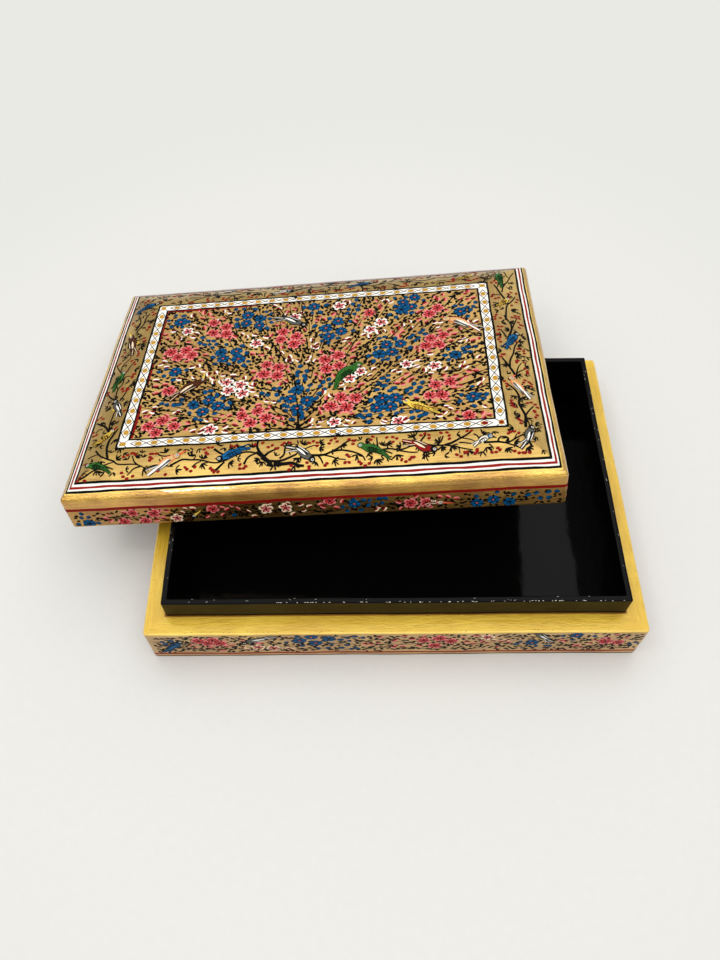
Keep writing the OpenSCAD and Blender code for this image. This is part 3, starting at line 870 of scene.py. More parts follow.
def field_painting():
    """Everything on the lid's flat field but the birds: a thin red line inside two of its edges, stems, the
    stump with its roots, and flowers."""
    rng = np.random.default_rng(11)
    left_edge = (-93.6, -55.5), (-93.5, 0), (-93.4, 55.3)
    back_edge = (-93.4, 55.3), (-60, 55.4), (-26, 55.4)
    made = [lines(lid_top, [left_edge], (1.9, 1.3, 0.7), 0.0, 0.02, DARK_RED),
            lines(lid_top, [back_edge], (1.5, 1.3, 0.4), 0.0, 0.02, DARK_RED)]
    made += [twig(field_face, "0.8: " + stem, low=0.06, tip=0.7) for stem in FIELD_STEMS]
    at = scatter(-FIELD, FIELD, 8.5, rng)
    at = at[np.linalg.norm(at - STUMP, axis=1) > 18]
    way = from_stump(at[:, 0], at[:, 1]) + rng.normal(0, 0.05, len(at))
    reach = rng.uniform(3.5, 7.5, len(at))[:, None, None] * np.linspace(-1, 1, 3)[None, :, None]
    made.append(lines(field_face, at[:, None] + reach * np.stack([np.cos(way), np.sin(way)], -1)[:, None],
                      (0.55, 0.5, 0.35), 0.0, 0.02, BLACK))
    made += garden(field_face, -FIELD, FIELD, grouped(FIELD_FLOWERS, -54.6, 54.6), from_stump, rng)
    made += [twig(field_face, root, low=0.13, tip=0.4, wide=0.62) for root in STUMP_ROOTS]
    return made


# The lid's border: lines, guard band, and a branch with berries and birds

def guard_band():
    """The white band with ochre dots, each in a diamond drawn by two zigzag lines that cross between dots."""
    made = [frame_line(GUARD_INSET, 5.95, WHITE, shake=0.03),
            frame_line(26.7, 1.15, BLACK, 0.05, seed=1), frame_line(32.65, 1.05, BLACK, 0.05, seed=2)]
    rng = np.random.default_rng(5)
    for side in range(4):
        half = SIDE_L[side] / 2 - GUARD_INSET
        count = int(round(2 * half / DOT_GAP))
        dots = np.linspace(-half, half, count + 1)[:-1]
        at = np.stack(on_side(side, dots, GUARD_INSET + rng.normal(0, 0.15, count)), -1)
        angle = side * np.pi / 2 + rng.normal(0, 0.1, count)
        made.append(daubs(lid_top, at, angle, 3.9, 3.1, 0.06, 0.03, OCHRE, point=0.25,
                          tone=rng.uniform(0, 1, count)))
        gap = 2 * half / count
        crossings = np.linspace(-half + gap / 2, half - gap / 2, count)
        turns = np.interp(np.arange(count * 2 - 1) / 2, np.arange(count), crossings)
        for sign in (1, -1):
            off = sign * 2.5 * (np.arange(count * 2 - 1) % 2)
            path = np.stack(on_side(side, turns, GUARD_INSET + off), -1)
            pieces = np.stack([path[:-1], (path[:-1] + path[1:]) / 2, path[1:]], 1)
            made.append(lines(lid_top, pieces, 0.42, 0.04, 0.02, BLACK))
    corner = np.array([[-97.3, -59.3], [97.3, -59.3], [97.3, 59.3], [-97.3, 59.3]])
    cross = np.array([[[-2.7, -2.7], [0, 0], [2.7, 2.7]], [[-2.7, 2.7], [0, 0], [2.7, -2.7]]])
    made.append(lines(lid_top, (corner[:, None, None] + cross).reshape(-1, 3, 2), 0.4, 0.04, 0.02, BLACK))
    red_dots = corner[1:2] - [[0, 0], [8.1, 0]]
    made.append(daubs(lid_top, red_dots, 0, [2.6, 3.4], [1.9, 2.4], 0.10, 0.03, DARK_RED))
    return made


def lid_lines():
    """The edge lines: black, white with a red line in it, black, and a pale gold line just outside them that
    paints the highlight along the nose's top; and the red line round the sides."""
    return [frame_line(5.85, 3.6, WHITE, shake=0.05, seed=3), frame_line(3.75, 1.05, BLACK, 0.04, seed=4),
            frame_line(5.7, 1.1, RED, 0.05, 0.02, seed=5), frame_line(8.0, 1.2, BLACK, 0.05, seed=6),
            frame_line(2.95, 0.5, RIM_HIGHLIGHT_GOLD, seed=8), belt(place_lid, 13.4, 1.9, DARK_RED)]


# Each branch is its width, which a factor turns to millimetres, and the places that it runs through; each
# tuft is its place and the way that it opens, in degrees
BRANCHES = (
    "0.9: -117.5 -79.5, -114 -78, -111 -75.5, -108 -74.5, -106 -73.5",
    "0.9: -112 -61, -108 -66.5, -103.5 -69, -100 -70, -98.5 -72, -95 -72.5, -89.5 -72.5, -87 -73, -85 -74, "
    "-81.5 -76",
    "1.2: -103.5 -68.5, -105.5 -62, -106 -57, -105 -53.5, -103.5 -49",
    "0.8: -115.5 -65.5, -112.5 -64.5, -109.5 -64.5", "0.8: -105.5 -72.5, -102.5 -71.5, -99.5 -70.5",
    "0.8: -87 -73, -89 -71.5, -90 -69, -90.5 -67.5", "0.8: -85.5 -74, -89 -75, -90.5 -77, -92 -78.5",
    "1.0: -70 -74.5, -67 -73, -64.5 -71.5, -62 -71.5, -60 -72, -55.5 -72, -52 -73, -47 -74.5, -42 -73.5, "
    "-39 -72",
    "0.8: -82 -75, -77 -73.5, -72.5 -74.5, -68.5 -75",
    "1.1: -39 -71.5, -34 -69.5, -30.5 -69, -26 -70, -23 -72",
    "0.8: -77.5 -66.5, -76 -68.5, -72.5 -69, -70.5 -68.5", "0.8: -58.5 -76, -56.5 -74, -54 -73",
    "1.2: -48 -66, -44.5 -69, -41 -70.5", "1.3: -47.5 -78.5, -46 -78, -44 -76, -42 -74",
    "1.1: -32 -76, -30.5 -72.5, -28 -71, -25 -70", "5.5: -19 -78, -18.5 -76",
    "4.0: -23 -72.5, -20 -75, -18 -76.5", "1.6: -26 -69.5, -23 -72.5",
    "1.5: -22 -72.5, -24.5 -69.5, -26 -66, -25.5 -62.5", "1.3: -21.5 -72, -19.5 -70, -16 -68.5",
    "2.0: -19.5 -75, -13.5 -75.5, -8.5 -73.5, -5 -72, -4 -70.5",
    "1.8: -17 -76.5, -12 -77, -7.5 -76.5, -5 -78, -1.5 -78.5",
    "1.0: -14 -74, -11.5 -72, -11.5 -68.5, -10.5 -65, -9.5 -64", "0.7: -1.5 -69.5, 2 -68, 4.5 -67.5",
    "1.2: 0 -73, 4.5 -73.5, 8.5 -73.5, 12 -72, 16.5 -69.5, 20.5 -66, 22 -65.5",
    "1.0: 12 -72, 16.5 -71, 21.5 -72, 25.5 -73.5, 28 -75, 29 -77.5",
    "0.8: 6.5 -73, 12 -74.5, 15.5 -76, 19.5 -76.5", "1.0: 5.5 -73.5, 7 -75.5, 8 -78",
    "0.9: 13 -73.5, 12.5 -72, 13 -70.5", "0.9: 34.5 -71.5, 35.5 -69.5, 35 -66.5, 35 -64.5",
    "0.9: 35.5 -72.5, 41.5 -71.5, 45.5 -73, 51.5 -74.5, 55 -74.5",
    "0.9: 45.5 -73, 49.5 -72, 52.5 -70.5, 54.5 -70",
    "1.2: 50.5 -71, 54.5 -70.5, 58.5 -70.5, 64 -71.5, 68.5 -71.5",
    "1.2: 68.5 -71.5, 72 -70.5, 75.5 -68.5, 79.5 -66.5, 83 -63.5", "1.0: 56 -69.5, 58.5 -66, 59.5 -64.5",
    "1.0: 64.5 -71.5, 67 -69, 68 -66", "0.8: 68.5 -71.5, 73.5 -72.5, 77.5 -74, 82 -75",
    "0.7: 74.5 -72.5, 75.5 -74, 75.5 -76.5", "0.7: 75.5 -70.5, 79 -71, 83 -72",
    "0.6: 77 -68, 81 -69, 83.5 -70.5", "0.8: 83 -66, 85 -67.5, 85.5 -70",
    "1.1: 87.5 -71.5, 91.5 -71.5, 95 -71.5, 98.5 -72.5, 101 -71.5, 104 -69.5, 107.5 -68",
    "1.0: 94.5 -71.5, 95 -69.5, 96.5 -68.5", "0.8: 98.5 -72.5, 102 -74, 105 -75.5",
    "0.7: 102.5 -70.5, 104 -67.5", "0.7: 90 -72.5, 91.5 -74, 92 -75.5",
    "1.2: 55 -69.5, 54 -67, 52.5 -64.5",
    "1.4: 109 -62.5, 109.5 -57, 110 -54, 109 -50.5, 108 -47, 107.5 -45, 108.5 -40, 107.5 -35.5, "
    "105.5 -32.5, 103.5 -30.5",
    "0.9: 110 -53.5, 112.5 -49, 115 -45.5", "0.9: 109.5 -60, 107 -57.5, 105 -57.5",
    "1.4: 108.5 -24.5, 107.5 -20.5, 106 -17, 104.5 -13, 102.5 -9",
    "0.8: 108.5 -23.5, 109.5 -19, 110.5 -15.5, 112.5 -12", "0.7: 109 -21.5, 111.5 -18.5, 114 -17",
    "1.0: 106 -16.5, 106.5 -10.5, 109 -5, 110 0.5, 111.5 4.5, 113.5 7.5",
    "1.3: 107.5 9, 109 13, 110.5 17.5, 110.5 22.5, 108.5 26.5, 107.5 30",
    "0.8: 110.5 17.5, 112.5 23, 114.5 28.5", "1.0: 106.5 9.5, 105.5 13, 104 16.5",
    "1.0: 108 25.5, 109 33.5, 110 40.5, 113 44, 116 50.5", "1.2: 109.5 46.5, 107.5 51, 106 56, 104.5 60",
    "0.7: 102 48.5, 104.5 50.5, 107 50", "0.8: 108.5 53, 109.5 58.5, 113.5 66, 115 71, 117.5 76",
    "0.7: 111.5 76, 113 70, 115 68.5", "0.6: 113 62.5, 116.5 66", "0.8: 106 4, 108 -1.5",
    "1.3: -107.5 -48.5, -110.5 -43.5, -114 -41, -117.5 -38",
    "0.9: -107.5 -47.5, -108.5 -42, -108 -38, -108 -33, -106.5 -29.5",
    "0.7: -116 -46.5, -114.5 -44, -112 -45", "1.1: -105.5 -61.5, -105.5 -55.5, -104 -52, -102.5 -47",
    "1.0: -109 -23, -113.5 -19.5, -116.5 -15.5, -119 -10",
    "0.8: -110 -22, -111 -16.5, -111 -12.5, -108.5 -9, -109.5 -2.5, -105 -3.5",
    "0.9: -107 -24, -105.5 -20, -104.5 -16.5", "0.8: -112.5 2, -116 7.5, -117.5 11",
    "0.7: -108.5 1.5, -108 5, -106.5 8.5", "0.7: -113 4, -113.5 9, -110.5 12, -109 15",
    "1.0: -111 38, -110 41.5, -107.5 45, -107.5 52.5, -105.5 56",
    "0.9: -112 41, -110 45.5, -110.5 50.5, -113.5 57.5", "0.7: -108.5 30, -106 30, -104.5 31.5")
BERRIES = (
    "-118 -80, -117 -78, -114 -80, -95 -68, -93 -67, -91 -66, -90 -66, -89 -67, -81 -69, -81 -67, -80 -67, "
    "-78 -67, -81 -71, -80 -70, -95 -77, -94 -79, -92 -80, -89 -79, -76 -77, -72 -79, -62 -76, -61 -77, "
    "-59 -78, -57 -76, -53 -66, -51 -65, -52 -68, -51 -69, -49 -65, -49 -77, -48 -78, -47 -79, -45 -79, "
    "-34 -76, -32 -78, -34 -78, -31 -77, -39 -65, -37 -65, -27 -65, -23 -64, -20 -67, -18 -66, -16 -68, "
    "-15 -68, -13 -66, -12 -65, -9 -65, -8 -78, -9 -80, 0 -77, 1 -79, 1 -80, 1 -66, 3 -65, 5 -66, 5 -68, "
    "9 -79, 10 -78, 11 -67, 12 -65, 14 -64, 15 -66, 19 -78, 20 -74, 21 -75, 21 -78, 21 -65, 23 -68, 23 -66, "
    "24 -66, 26 -78, 27 -79, 29 -80, 31 -79, 32 -66, 33 -64, 40 -65, 43 -65, 45 -66, 43 -68, 47 -78, 49 -79, "
    "51 -78, 52 -77, 53 -77, 57 -65, 59 -64, 61 -65, 61 -67, 67 -64, 70 -64, 71 -66, 71 -68, 74 -77, 76 -78, "
    "78 -76, 79 -76, 80 -64, 82 -64, 83 -77, 84 -75, 84 -76, 91 -77, 93 -77, 94 -75, 95 -76, 100 -67, "
    "101 -66, 103 -66, 105 -67, 102 -77, 104 -78, 106 -78, 107 -78, 109 -78, 103 50, 102 48, 104 46, 106 47, "
    "103 30, 102 28, 102 26, 105 27, 103 19, 103 16, 105 19, 102 12, 103 9, 102 7, 103 5, 112 29, 114 31, "
    "114 29, 116 31, 116 29, 115 25, 116 23, 115 20, 117 23, 112 0, 113 0, 115 -1, 115 -3, 112 6, 103 -6, "
    "104 -6, 102 -8, 110 -11, 110 -12, 111 -10, 114 -11, 114 -16, 115 -18, 115 -19, 115 -20, 112 -28, "
    "113 -26, 115 -27, 116 -28, 116 -30, 102 -28, 103 -30, 103 -30, 103 -32, 104 -43, 104 -45, 104 -47, "
    "105 -48, 112 -44, 114 -43, 116 -44, 117 -46, 115 -49, 115 -50, 116 -52, 115 -54, 116 -52, 106 -57, "
    "107 -58, 107 -60, 112 52, 114 54, 117 54, 116 45, 117 48, 113 41, 105 64, 106 62, 103 62, -118 -35, "
    "-116 -34, -114 -36, -118 -45, -117 -48, -115 -48, -117 -15, -117 -13, -102 -33, -108 -14, -108 -13, "
    "-105 -14, -104 -15, -105 -16, -107 -16, -104 -2, -104 -4, -103 -2, -104 -5, -117 11, -116 12, -108 11, "
    "-106 9, -105 7, -106 19, -105 17, -105 15, -116 19, -115 22, -104 31, -104 28, -103 28, -103 42, "
    "-104 39, -103 41, -116 50, -116 51, -114 47, -104 57, -102 55, -103 54, -112 70, -110 71, -110 72, "
    "-109 78, -96 70")
TUFTS = (
    "-98 -69 45, -88 -68 60, -73 -66 100, -60 -69 80, -53 -71 80, -83 -76 -30, -66 -77 -20, -53 -75 -60, "
    "-39 -66 20, -39 -75 -20, -28 -66 90, -25 -74 -130, -23 -76 -110, -16 -78 -70, -10 -67 90, -5 -75 -120, "
    "-3 -74 -90, -6 -79 -80, -2 -66 60, 7 -66 20, 7 -70 0, 14 -77 -40, 18 -69 -20, 25 -75 -90, 30 -67 30, "
    "35 -78 -60, 41 -69 -20, 45 -76 -70, 46 -71 180, 53 -65 120, 59 -75 -60, 65 -69 130, 59 -77 -60, "
    "67 -73 -70, 72 -73 -60, 80 -76 -90, 88 -66 40, 89 -75 -60, 99 -70 -140, 99 -76 -60, 103 -73 -20, "
    "109 -76 -60, -115 -76 -60, -108 -76 -60, 106 23 20, 111 24 0, 108 16 160, 103 11 170, 116 12 0, "
    "114 7 -10, 113 3 -10, 102 -3 170, 111 -7 -20, 111 -4 -40, 104 -15 190, 115 -14 10, 110 -23 -20, "
    "101 -26 170, 106 -40 -100, 110 -41 -40, 113 -32 -20, 115 -32 30, 109 -46 -40, 105 -46 200, 106 -55 150, "
    "111 -56 -30, 115 -59 -20, 102 -64 180, 104 39 150, 104 34 200, 113 36 -10, 112 49 0, -113 -40 -150, "
    "-112 -29 170, -103 -27 -10, -118 3 160, -103 2 -10, -103 -12 -30, -102 -10 0, -113 16 160, -104 25 -10, "
    "-104 22 -30, -111 45 160, -103 47 -20, -108 65 40, -107 -42 0, -102 -56 -60, -98 -63 -100, "
    "-111 -56 150, -46 -63 30, -35 -66 40, 16 -62 60, 38 -69 60")


def border_branches():
    """The branches of the border with their berries and tufts of leaves. Those of the front are painted on
    the back too, turned half round, and small tufts fill the bare places. Rows thicker than 2 are the
    front's stump."""
    rng = np.random.default_rng(23)
    made, busy = [], []
    for row in BRANCHES:
        width, path = row.split(":")
        knots, stump = places(path), float(width) >= 2
        made.append(twig(lid_top, row, low=0.02, rise=0.06, tip=0.6, wide=0.72 if stump else 1.15))
        busy.append(knots)
        if np.all(knots[:, 1] < -60) and np.all(abs(knots[:, 0]) < 100) and not stump:
            made.append(twig(lid_top, row, rise=0.05, tip=0.6, turn=-1))
            busy.append(-knots)
    berries = places(BERRIES)
    front = (berries[:, 1] < -60) & (abs(berries[:, 0]) < 104)
    berries = np.concatenate([berries, -berries[front]])
    made.append(daubs(lid_top, berries, rng.uniform(-0.5, 0.9, len(berries)), 2.15, 1.55, 0.08, 0.05,
                      DARK_RED, corners=7, tone=rng.uniform(0, 1, len(berries))))
    tuft = np.array(TUFTS.replace(",", " ").split(), float).reshape(-1, 3)
    front = (tuft[:, 1] < -60) & (abs(tuft[:, 0]) < 100)
    tuft = np.concatenate([tuft, tuft[front] * (-1, -1, 1) + (0, 0, 180)])
    at, angle = tuft[:, :2], np.radians(tuft[:, 2])
    made.append(tufts(lid_top, around(at, angle, np.full(len(at), -1.0)), angle, rng, 5, 3.5, 1.0, fan=1.0))
    busy = np.concatenate(busy + [berries, at])
    at = scatter((-117.5, -79.5), (117.5, 79.5), 3.9, rng)
    inset = np.minimum(*insets(at[:, 0], at[:, 1]))
    at = at[(inset > 10.7) & (inset < 24.4) & (nearest(at, busy) > 2.5)]
    made.append(tufts(lid_top, at, rng.uniform(0, 2 * np.pi, len(at)), rng, 3, 2.8, 0.9, fan=0.8))
    return made


# The birds of the lid, those of its field first, as bird() takes them
LID_BIRDS = (
    ("brown", -1, "-78 -28, -71.5 -18.5, -66 -15, -62 -12, -61.5 -6"),
    ("grey", 1, "-27.5 41.5, -19 40, -13 35.5, -8.5 33, -6.5 28.5"),
    ("green", -1, "12.5 -26.5, 14 -15.5, 19.5 -11.5, 24.5 -7, 26.5 -9.5"),
    ("yellow", 1, "67 -50, 59.5 -44.5, 53.5 -42.5, 50.5 -39.5, 48.5 -37"),
    ("pale", 1, "92.5 15.5, 85.5 23.5, 79.5 27.5, 74.5 29, 72 31"),
    ("green", 1, "-101 -77, -105.5 -73, -109 -72.5, -114 -71, -116 -69"),
    ("pale", -1, "-81 -79, -76 -75, -72 -71.5, -67 -69, -62.5 -66.5"),
    ("blue", 1, "-29 -67, -35.5 -67.5, -40.5 -70.5, -44.5 -72, -46.5 -72"),
    ("grey", 1, "-11 -67.5, -5 -69, -1 -72.5, 2.5 -75.5, 5.5 -79"),
    ("green", 1, "41 -77, 35.5 -71.5, 31 -71, 27 -69, 25.5 -69.5"),
    ("red", 1, "47.5 -67.5, 54.5 -69.5, 58.5 -72.5, 63 -73.5, 65 -73.5"),
    ("white", -1, "82.5 -73.5, 84.5 -71.5, 87 -69.5, 91 -68, 93.5 -69"),
    ("crested", -1, "105 -76, 108.5 -72, 110 -67.5, 112 -62, 116 -64"),
    ("pale", 1, "114 -40.5, 110.5 -33.5, 107.5 -29.5, 106 -25.5, 108 -23"),
    ("blue", -1, "105.5 -1.5, 107 4, 109.5 8, 112.5 13.5, 115 13"),
    ("yellow", 1, "104 39, 106.5 41, 109 43, 111 46.5, 113 49.5"),
    ("green", -1, "109 57.5, 108.5 63.5, 108 68, 107.5 73, 106 76.5"),
    ("yellow", -1, "-115.5 -56.5, -110.5 -54, -108 -51.5, -105.5 -48.5, -103.5 -45.5"),
    ("grey", -1, "-103 -37.5, -105.5 -32.5, -107.5 -28, -109.5 -24, -112 -20.5"),
    ("green", 1, "-113.5 -14, -114 -8.5, -112.5 -4.5, -110.5 1, -108.5 2"),
    ("brown", 1, "-109 16, -109.5 22.5, -111 28, -113.5 35, -116 40.5"),
    ("blue", -1, "-114.5 59, -112.5 64, -107.5 64.5, -103 65, -100 65.5"),
    ("blue", -1, "17 68, 22 72, 26 73.5, 30.5 74.5, 33 75"),
    ("yellow", -1, "83 68, 86 71, 89.5 72.5, 92.5 73.5, 94.5 73"),
    ("white", 1, "-66 75, -62.5 76.5, -59.5 78, -56.5 77.5, -54.5 77.5"),
    ("white", 1, "-30 68.5, -26.5 69, -23.5 70, -20.5 70, -18.5 70"),
)


# The flower bands round the upright sides

def level(x, y):
    """Direction of the stems in a side band: along it, gently up and down."""
    return 0.3 * np.sin(np.asarray(x) / 17)


def side_band(surface, half, low, high, flowers, birds, seed, size):
    """A band of flowers along one side, with long low stems, and the birds in it."""
    rng = np.random.default_rng(seed)
    s = np.linspace(0, 1, 7)
    count = int(half / 4)
    start = rng.uniform(-half + 3, half - 25, (count, 1))
    z = rng.uniform(low + 2, high - 2, (count, 1))
    path = np.stack([start + 20 * s, np.clip(z + 1.5 * np.sin(start + 4 * s), low + 0.5, high - 0.5)], -1)
    made = [lines(surface, path, 0.4, 0.0, 0.03, BLACK)]
    made += garden(surface, (-half + 2, low), (half - 2, high), flowers, level, rng,
                   size=size, bud=0.46 * size, gap=2.8)
    return made + sum((bird(surface, *row) for row in birds), [])


def spread(half, low, high, seed):
    """Flowers for a side that the photograph doesn't show: bunches of the three kinds in turn, 14 mm apart,
    each with buds of its own kind round it. Distances up the side are parts of the band's height."""
    rng = np.random.default_rng(seed)
    s = np.arange(-half + 9, half - 6, 14.0)
    middle = np.stack([s, (low + high) / 2 + rng.uniform(-0.1, 0.1, len(s)) * (high - low)], -1)
    kinds = np.array(["blue", "pink", "cream", "pink"])[(np.arange(len(s)) + seed) % 4]
    tall = high - low
    three, two = [(-3.6, 0.2), (3.5, 0.24), (0.2, -0.26)], [(-3.4, 0.08), (3.4, -0.08)]
    open_at = np.array(three if tall > 15 else two)
    shut_at = np.array([(-7, -0.2), (7, 0.1), (-4, -0.34), (4, -0.3), (0, 0.36), (7.5, -0.3), (-7.5, 0.3)])
    return {kind: tuple((middle[kinds == kind][:, None] + offset * (1, tall)).reshape(-1, 2)
                        for offset in (open_at, shut_at)) for kind in ("blue", "pink", "cream")}


LID_FRONT_FLOWERS = {
    "blue": (
        "-117 2.5, 22 8, 83 4, 91 6, 99 3.5",
        "-119 10.5, -116 8, -120 7.5, -123 2, -112 3, 22 11.5, 27 10.5, 30 10, 35 12, 38 12, 36 7.5, "
        "33 7, 16 6, 18 2.5, 25 3, 29 6.5, 83 9, 93 12, 101 9, 108 8, 112 9, 114 5, 118 9.5, 118 5.5, "
        "122 10, -40 4"),
    "pink": (
        "-98 0.5, -87 2.5, -50 9.5, 10 12, 50 6.5, 58 6.5, -92 9.5, -81 8.5",
        "-105 9, -107 6.5, -99 4.5, -105 4, -96 10.5, -77 10, -77 5, -74 9.5, -81 0, -45 10.5, -43 9, "
        "-40 11, -37 9, -54 4, -46 5, 5 9, 6 6.5, 16 10.5, 13 6, 44 7.5, 45 3, 53 11.5, 54 2.5, 65 10.5, "
        "69 10, 73 8.5, 60 2.5, 56 9.5"),
    "cream": (
        "-23 7.5, -13 7.5, -70 4",
        "-32 6.5, -30 2.5, -21 12.5, -11 12.5, -5 9, -4 4.5, -1 8, 34 4.5, 37 3, 33 1.5, -10 1, "
        "-64 11.5, -60 11.5, -66 8.5"),
}
LID_FRONT_BIRDS = (
    ("black", 1, "-68 -0.5, -65 2, -63 3.5, -61 5, -57 8.5"),
    ("pink", 1, "57 5, 60 6.5, 63 6.5, 65 6, 71 5"),
)
TRAY_FRONT_FLOWERS = {
    "blue": (
        "-49 20.5, -43 25.5, -41 17.5, -34 23, 91 25.5, 70 15.5",
        "-119 20.5, -114 22, -118 17.5, -113 16, -56 19, -50 26, -48 13.5, -40 10.5, -35 10.5, -28 21.5, "
        "-25 24, -24 20, -21 25.5, -17 24, -33 16, -28 10, -25 14.5, -23 8.5, -20 10, 62 14, 64 17, "
        "84 24.5, 90 19, 100 24, 121 13, 123 15.5, 126 14, 78 11, 80 11, 73 11"),
    "pink": (
        "-100 21.5, -96 18.5, -93 22.5, -90 18.5, 14 20.5, 20 13.5, 22 23, 28 19, 107 17.5, 114 16",
        "-105 16, -103 13, -95 13, -84 15.5, -87 14.5, -90 8.5, -78 22.5, -71 18, -69 18, -16 15.5, "
        "-13 15.5, -8 25, -9 17, -1 19.5, 0 21, -1 11, 0 14, 4 27.5, 8 22, 14 26, 12 13.5, 4 12.5, "
        "34 24, 36 17.5, 40 27, 40 16, 44 18.5, 47 15.5, 54 18.5, 53 10, 58 17, 84 19, 86 17.5, 96 10.5, "
        "93 12, 100 14.5, 101 19, 107 22.5, 111 26.5, 117 22.5"),
    "cream": (
        "-63 11, -71 12.5, 46 24",
        "-78 12.5, -77 10, -56 11, -53 9.5, -60 11, 50 20, 55 19.5, 57 19.5"),
}
TRAY_FRONT_BIRDS = (
    ("grey", 1, "-60 26, -68 24, -73 21.5, -77 18.5, -80 15.5"),
    ("swallow", 1, "-121 6.5, -117 10.5, -113 16, -110 20.5, -108 21.5"),
    ("grey", -1, "81 17, 77 19.5, 73 25, 70 29, 68 30"),
)
TRAY_SIDE_BIRDS = (
    ("grey", 1, "-30 25, -36 21, -41 18, -46 14.5, -49 12"),
    ("green", -1, "28 25, 33 20, 38 18, 44 15, 47 13"),
)


def lid_band(side):
    """The band under the red line on one side of the lid."""
    half, low, high = SIDE_L[side] / 2, 1.4, 12.2
    surface = side_face(place_lid, side, 1.1, 12.6)
    if side == 0:
        flowers, birds = grouped(LID_FRONT_FLOWERS, low + 1.4, high - 1), LID_FRONT_BIRDS
    else:
        flowers, birds = spread(half, low, high, side), ()
    return side_band(surface, half, low, high, flowers, birds, 40 + side, 6.8)


def tray_band(side):
    """The band over the red line on one side of the tray."""
    half, low, high = SIDE_L[side] / 2, 5.6, 28.2
    surface = side_face(place_tray, side, 5.0, 28.1)
    if side == 0:
        flowers, birds = grouped(TRAY_FRONT_FLOWERS, low + 2, high - 2), TRAY_FRONT_BIRDS
    else:
        flowers, birds = spread(half, low, high, side + 2), TRAY_SIDE_BIRDS
    return side_band(surface, half, low, high, flowers, birds, 60 + side, 7.5)


# The box itself

def arc(d, z, r, start, end, steps):
    """Rows of a profile along an arc about (d, z), its angle in degrees from one to the other."""
    a = np.radians(np.linspace(start, end, steps + 1))
    return np.stack([d + r * np.cos(a), z + r * np.sin(a)], -1)


# Inset of a shell's innermost row, which leaves a narrow strip in the middle that two caps close
INNERMOST = 88.4


def lid_shell():
    """The lid as one closed shell: flat field, wide curve, nose, side, rim, inner wall and ceiling. Each
    row's gold follows from how far in and how high it is."""
    top = np.linspace(INNERMOST, CROWN_RUN, 20)
    curve = np.linspace(CROWN_RUN, NOSE_END, 18)[1:-1]
    meet = np.degrees(np.arccos((NOSE_END - NOSE_R) / NOSE_R))
    outside = np.concatenate([
        np.stack([top, np.full(20, LID_TOP)], -1), np.stack([curve, crown(curve)[0]], -1),
        arc(NOSE_R, NOSE_Z, NOSE_R, meet, 180, 7),
        [[0, z] for z in (18.6, 17, 13.4, 11, 8, 5, 2.5, 1.4)], arc(EDGE_R, EDGE_R, EDGE_R, 180, 270, 4),
        [[d, 0] for d in (1.4, 3, 6, 8.5, 9.3)]])
    inside = np.concatenate([
        arc(9.6, 0.4, 0.4, 270, 360, 3), [[LID_WALL, z] for z in (0.8, 3, 9, 15, 17.2)],
        arc(10.6, 17.8, 0.6, 180, 90, 3),
        [[d, LID_DEPTH] for d in (11.2, 13, 17, 24, 32, 42, 54, 66, 78, INNERMOST)]])
    rows = np.concatenate([outside, inside])
    which = np.repeat([0, 1], [len(outside), len(inside)])
    outer = np.arange(len(rows)) < len(outside)
    # The border, the nose, the strip under it and the sides below the red line take copies of the lid's gold,
    # toned for how light falls on each: painted highlight and shade
    which[outer & (rows[:, 0] < 28.4)] = 3
    which[outer & (rows[:, 0] < 4.9)] = 4
    which[outer & (rows[:, 0] < 1.5) & (rows[:, 1] < NOSE_Z + 0.5)] = 5
    which[outer & (rows[:, 0] < 1.5) & (rows[:, 1] < 13.5)] = 2
    paints = [GOLD, LACQUER, LID_SIDE_GOLD, BORDER_GOLD, NOSE_GOLD, UNDER_NOSE_GOLD]
    return [shell(rows, place_lid, paints, which)]


def tray_walls():
    """The tray's walls as one closed ring: ledge, rounded edge, side, foot and the hidden inner face."""
    inner = LEDGE_W + 0.15
    # The ledge's first face, next to the collar, takes the darker gold of a painted shade
    ledge = np.array([[d, LEDGE_H] for d in (inner, 9.8, 8, 6, 4, 2.4, 1.6)])
    # The first three faces of this rounded edge take the pale gold of a painted highlight
    side = np.concatenate([arc(EDGE_R, LEDGE_H - EDGE_R, EDGE_R, 90, 180, 4),
                           [[0, z] for z in (27.7, 26, 22, 18, 14, 10, 6, 3, 1.5)],
                           arc(EDGE_R, EDGE_R, EDGE_R, 180, 270, 4)])
    # The black underside's lacquer wraps up the last face of the foot's rounding, where it also paints the
    # contact shadow
    foot = np.array([[d, 0] for d in (1.4, 4, 8, inner)] + [[inner, z] for z in (5, 15, 25)], float)
    rows = np.concatenate([ledge, side, foot])
    which = np.repeat([4, 0, 3, 1, 2], [1, len(ledge) - 1, 3, len(side) - 5, len(foot) + 2])
    return [shell(rows, place_tray, [LEDGE_GOLD, SIDE_GOLD, LACQUER, RIM_HIGHLIGHT_GOLD, COLLAR_SHADE_GOLD], which, loop=True)]


def collar():
    """The black collar as one closed ring: rounded top, outer face, foot and inner face."""
    out, inn, r = LEDGE_W, LEDGE_W + COLLAR_T, COLLAR_EDGE
    rows = np.concatenate([
        arc(inn - r, COLLAR_TOP - r, r, 0, 90, 3), arc(out + r, COLLAR_TOP - r, r, 90, 180, 3),
        [[out, z] for z in (42.2, 39, 35, 31, 29.6, 26, 15, 4, FLOOR_T)],
        [[inn, z] for z in (FLOOR_T, 3.4, 6, 14, 24, 34, 40, 42.2)]])
    return [shell(rows, place_tray, [LACQUER], np.zeros(len(rows), int), loop=True, corner=11.3)]


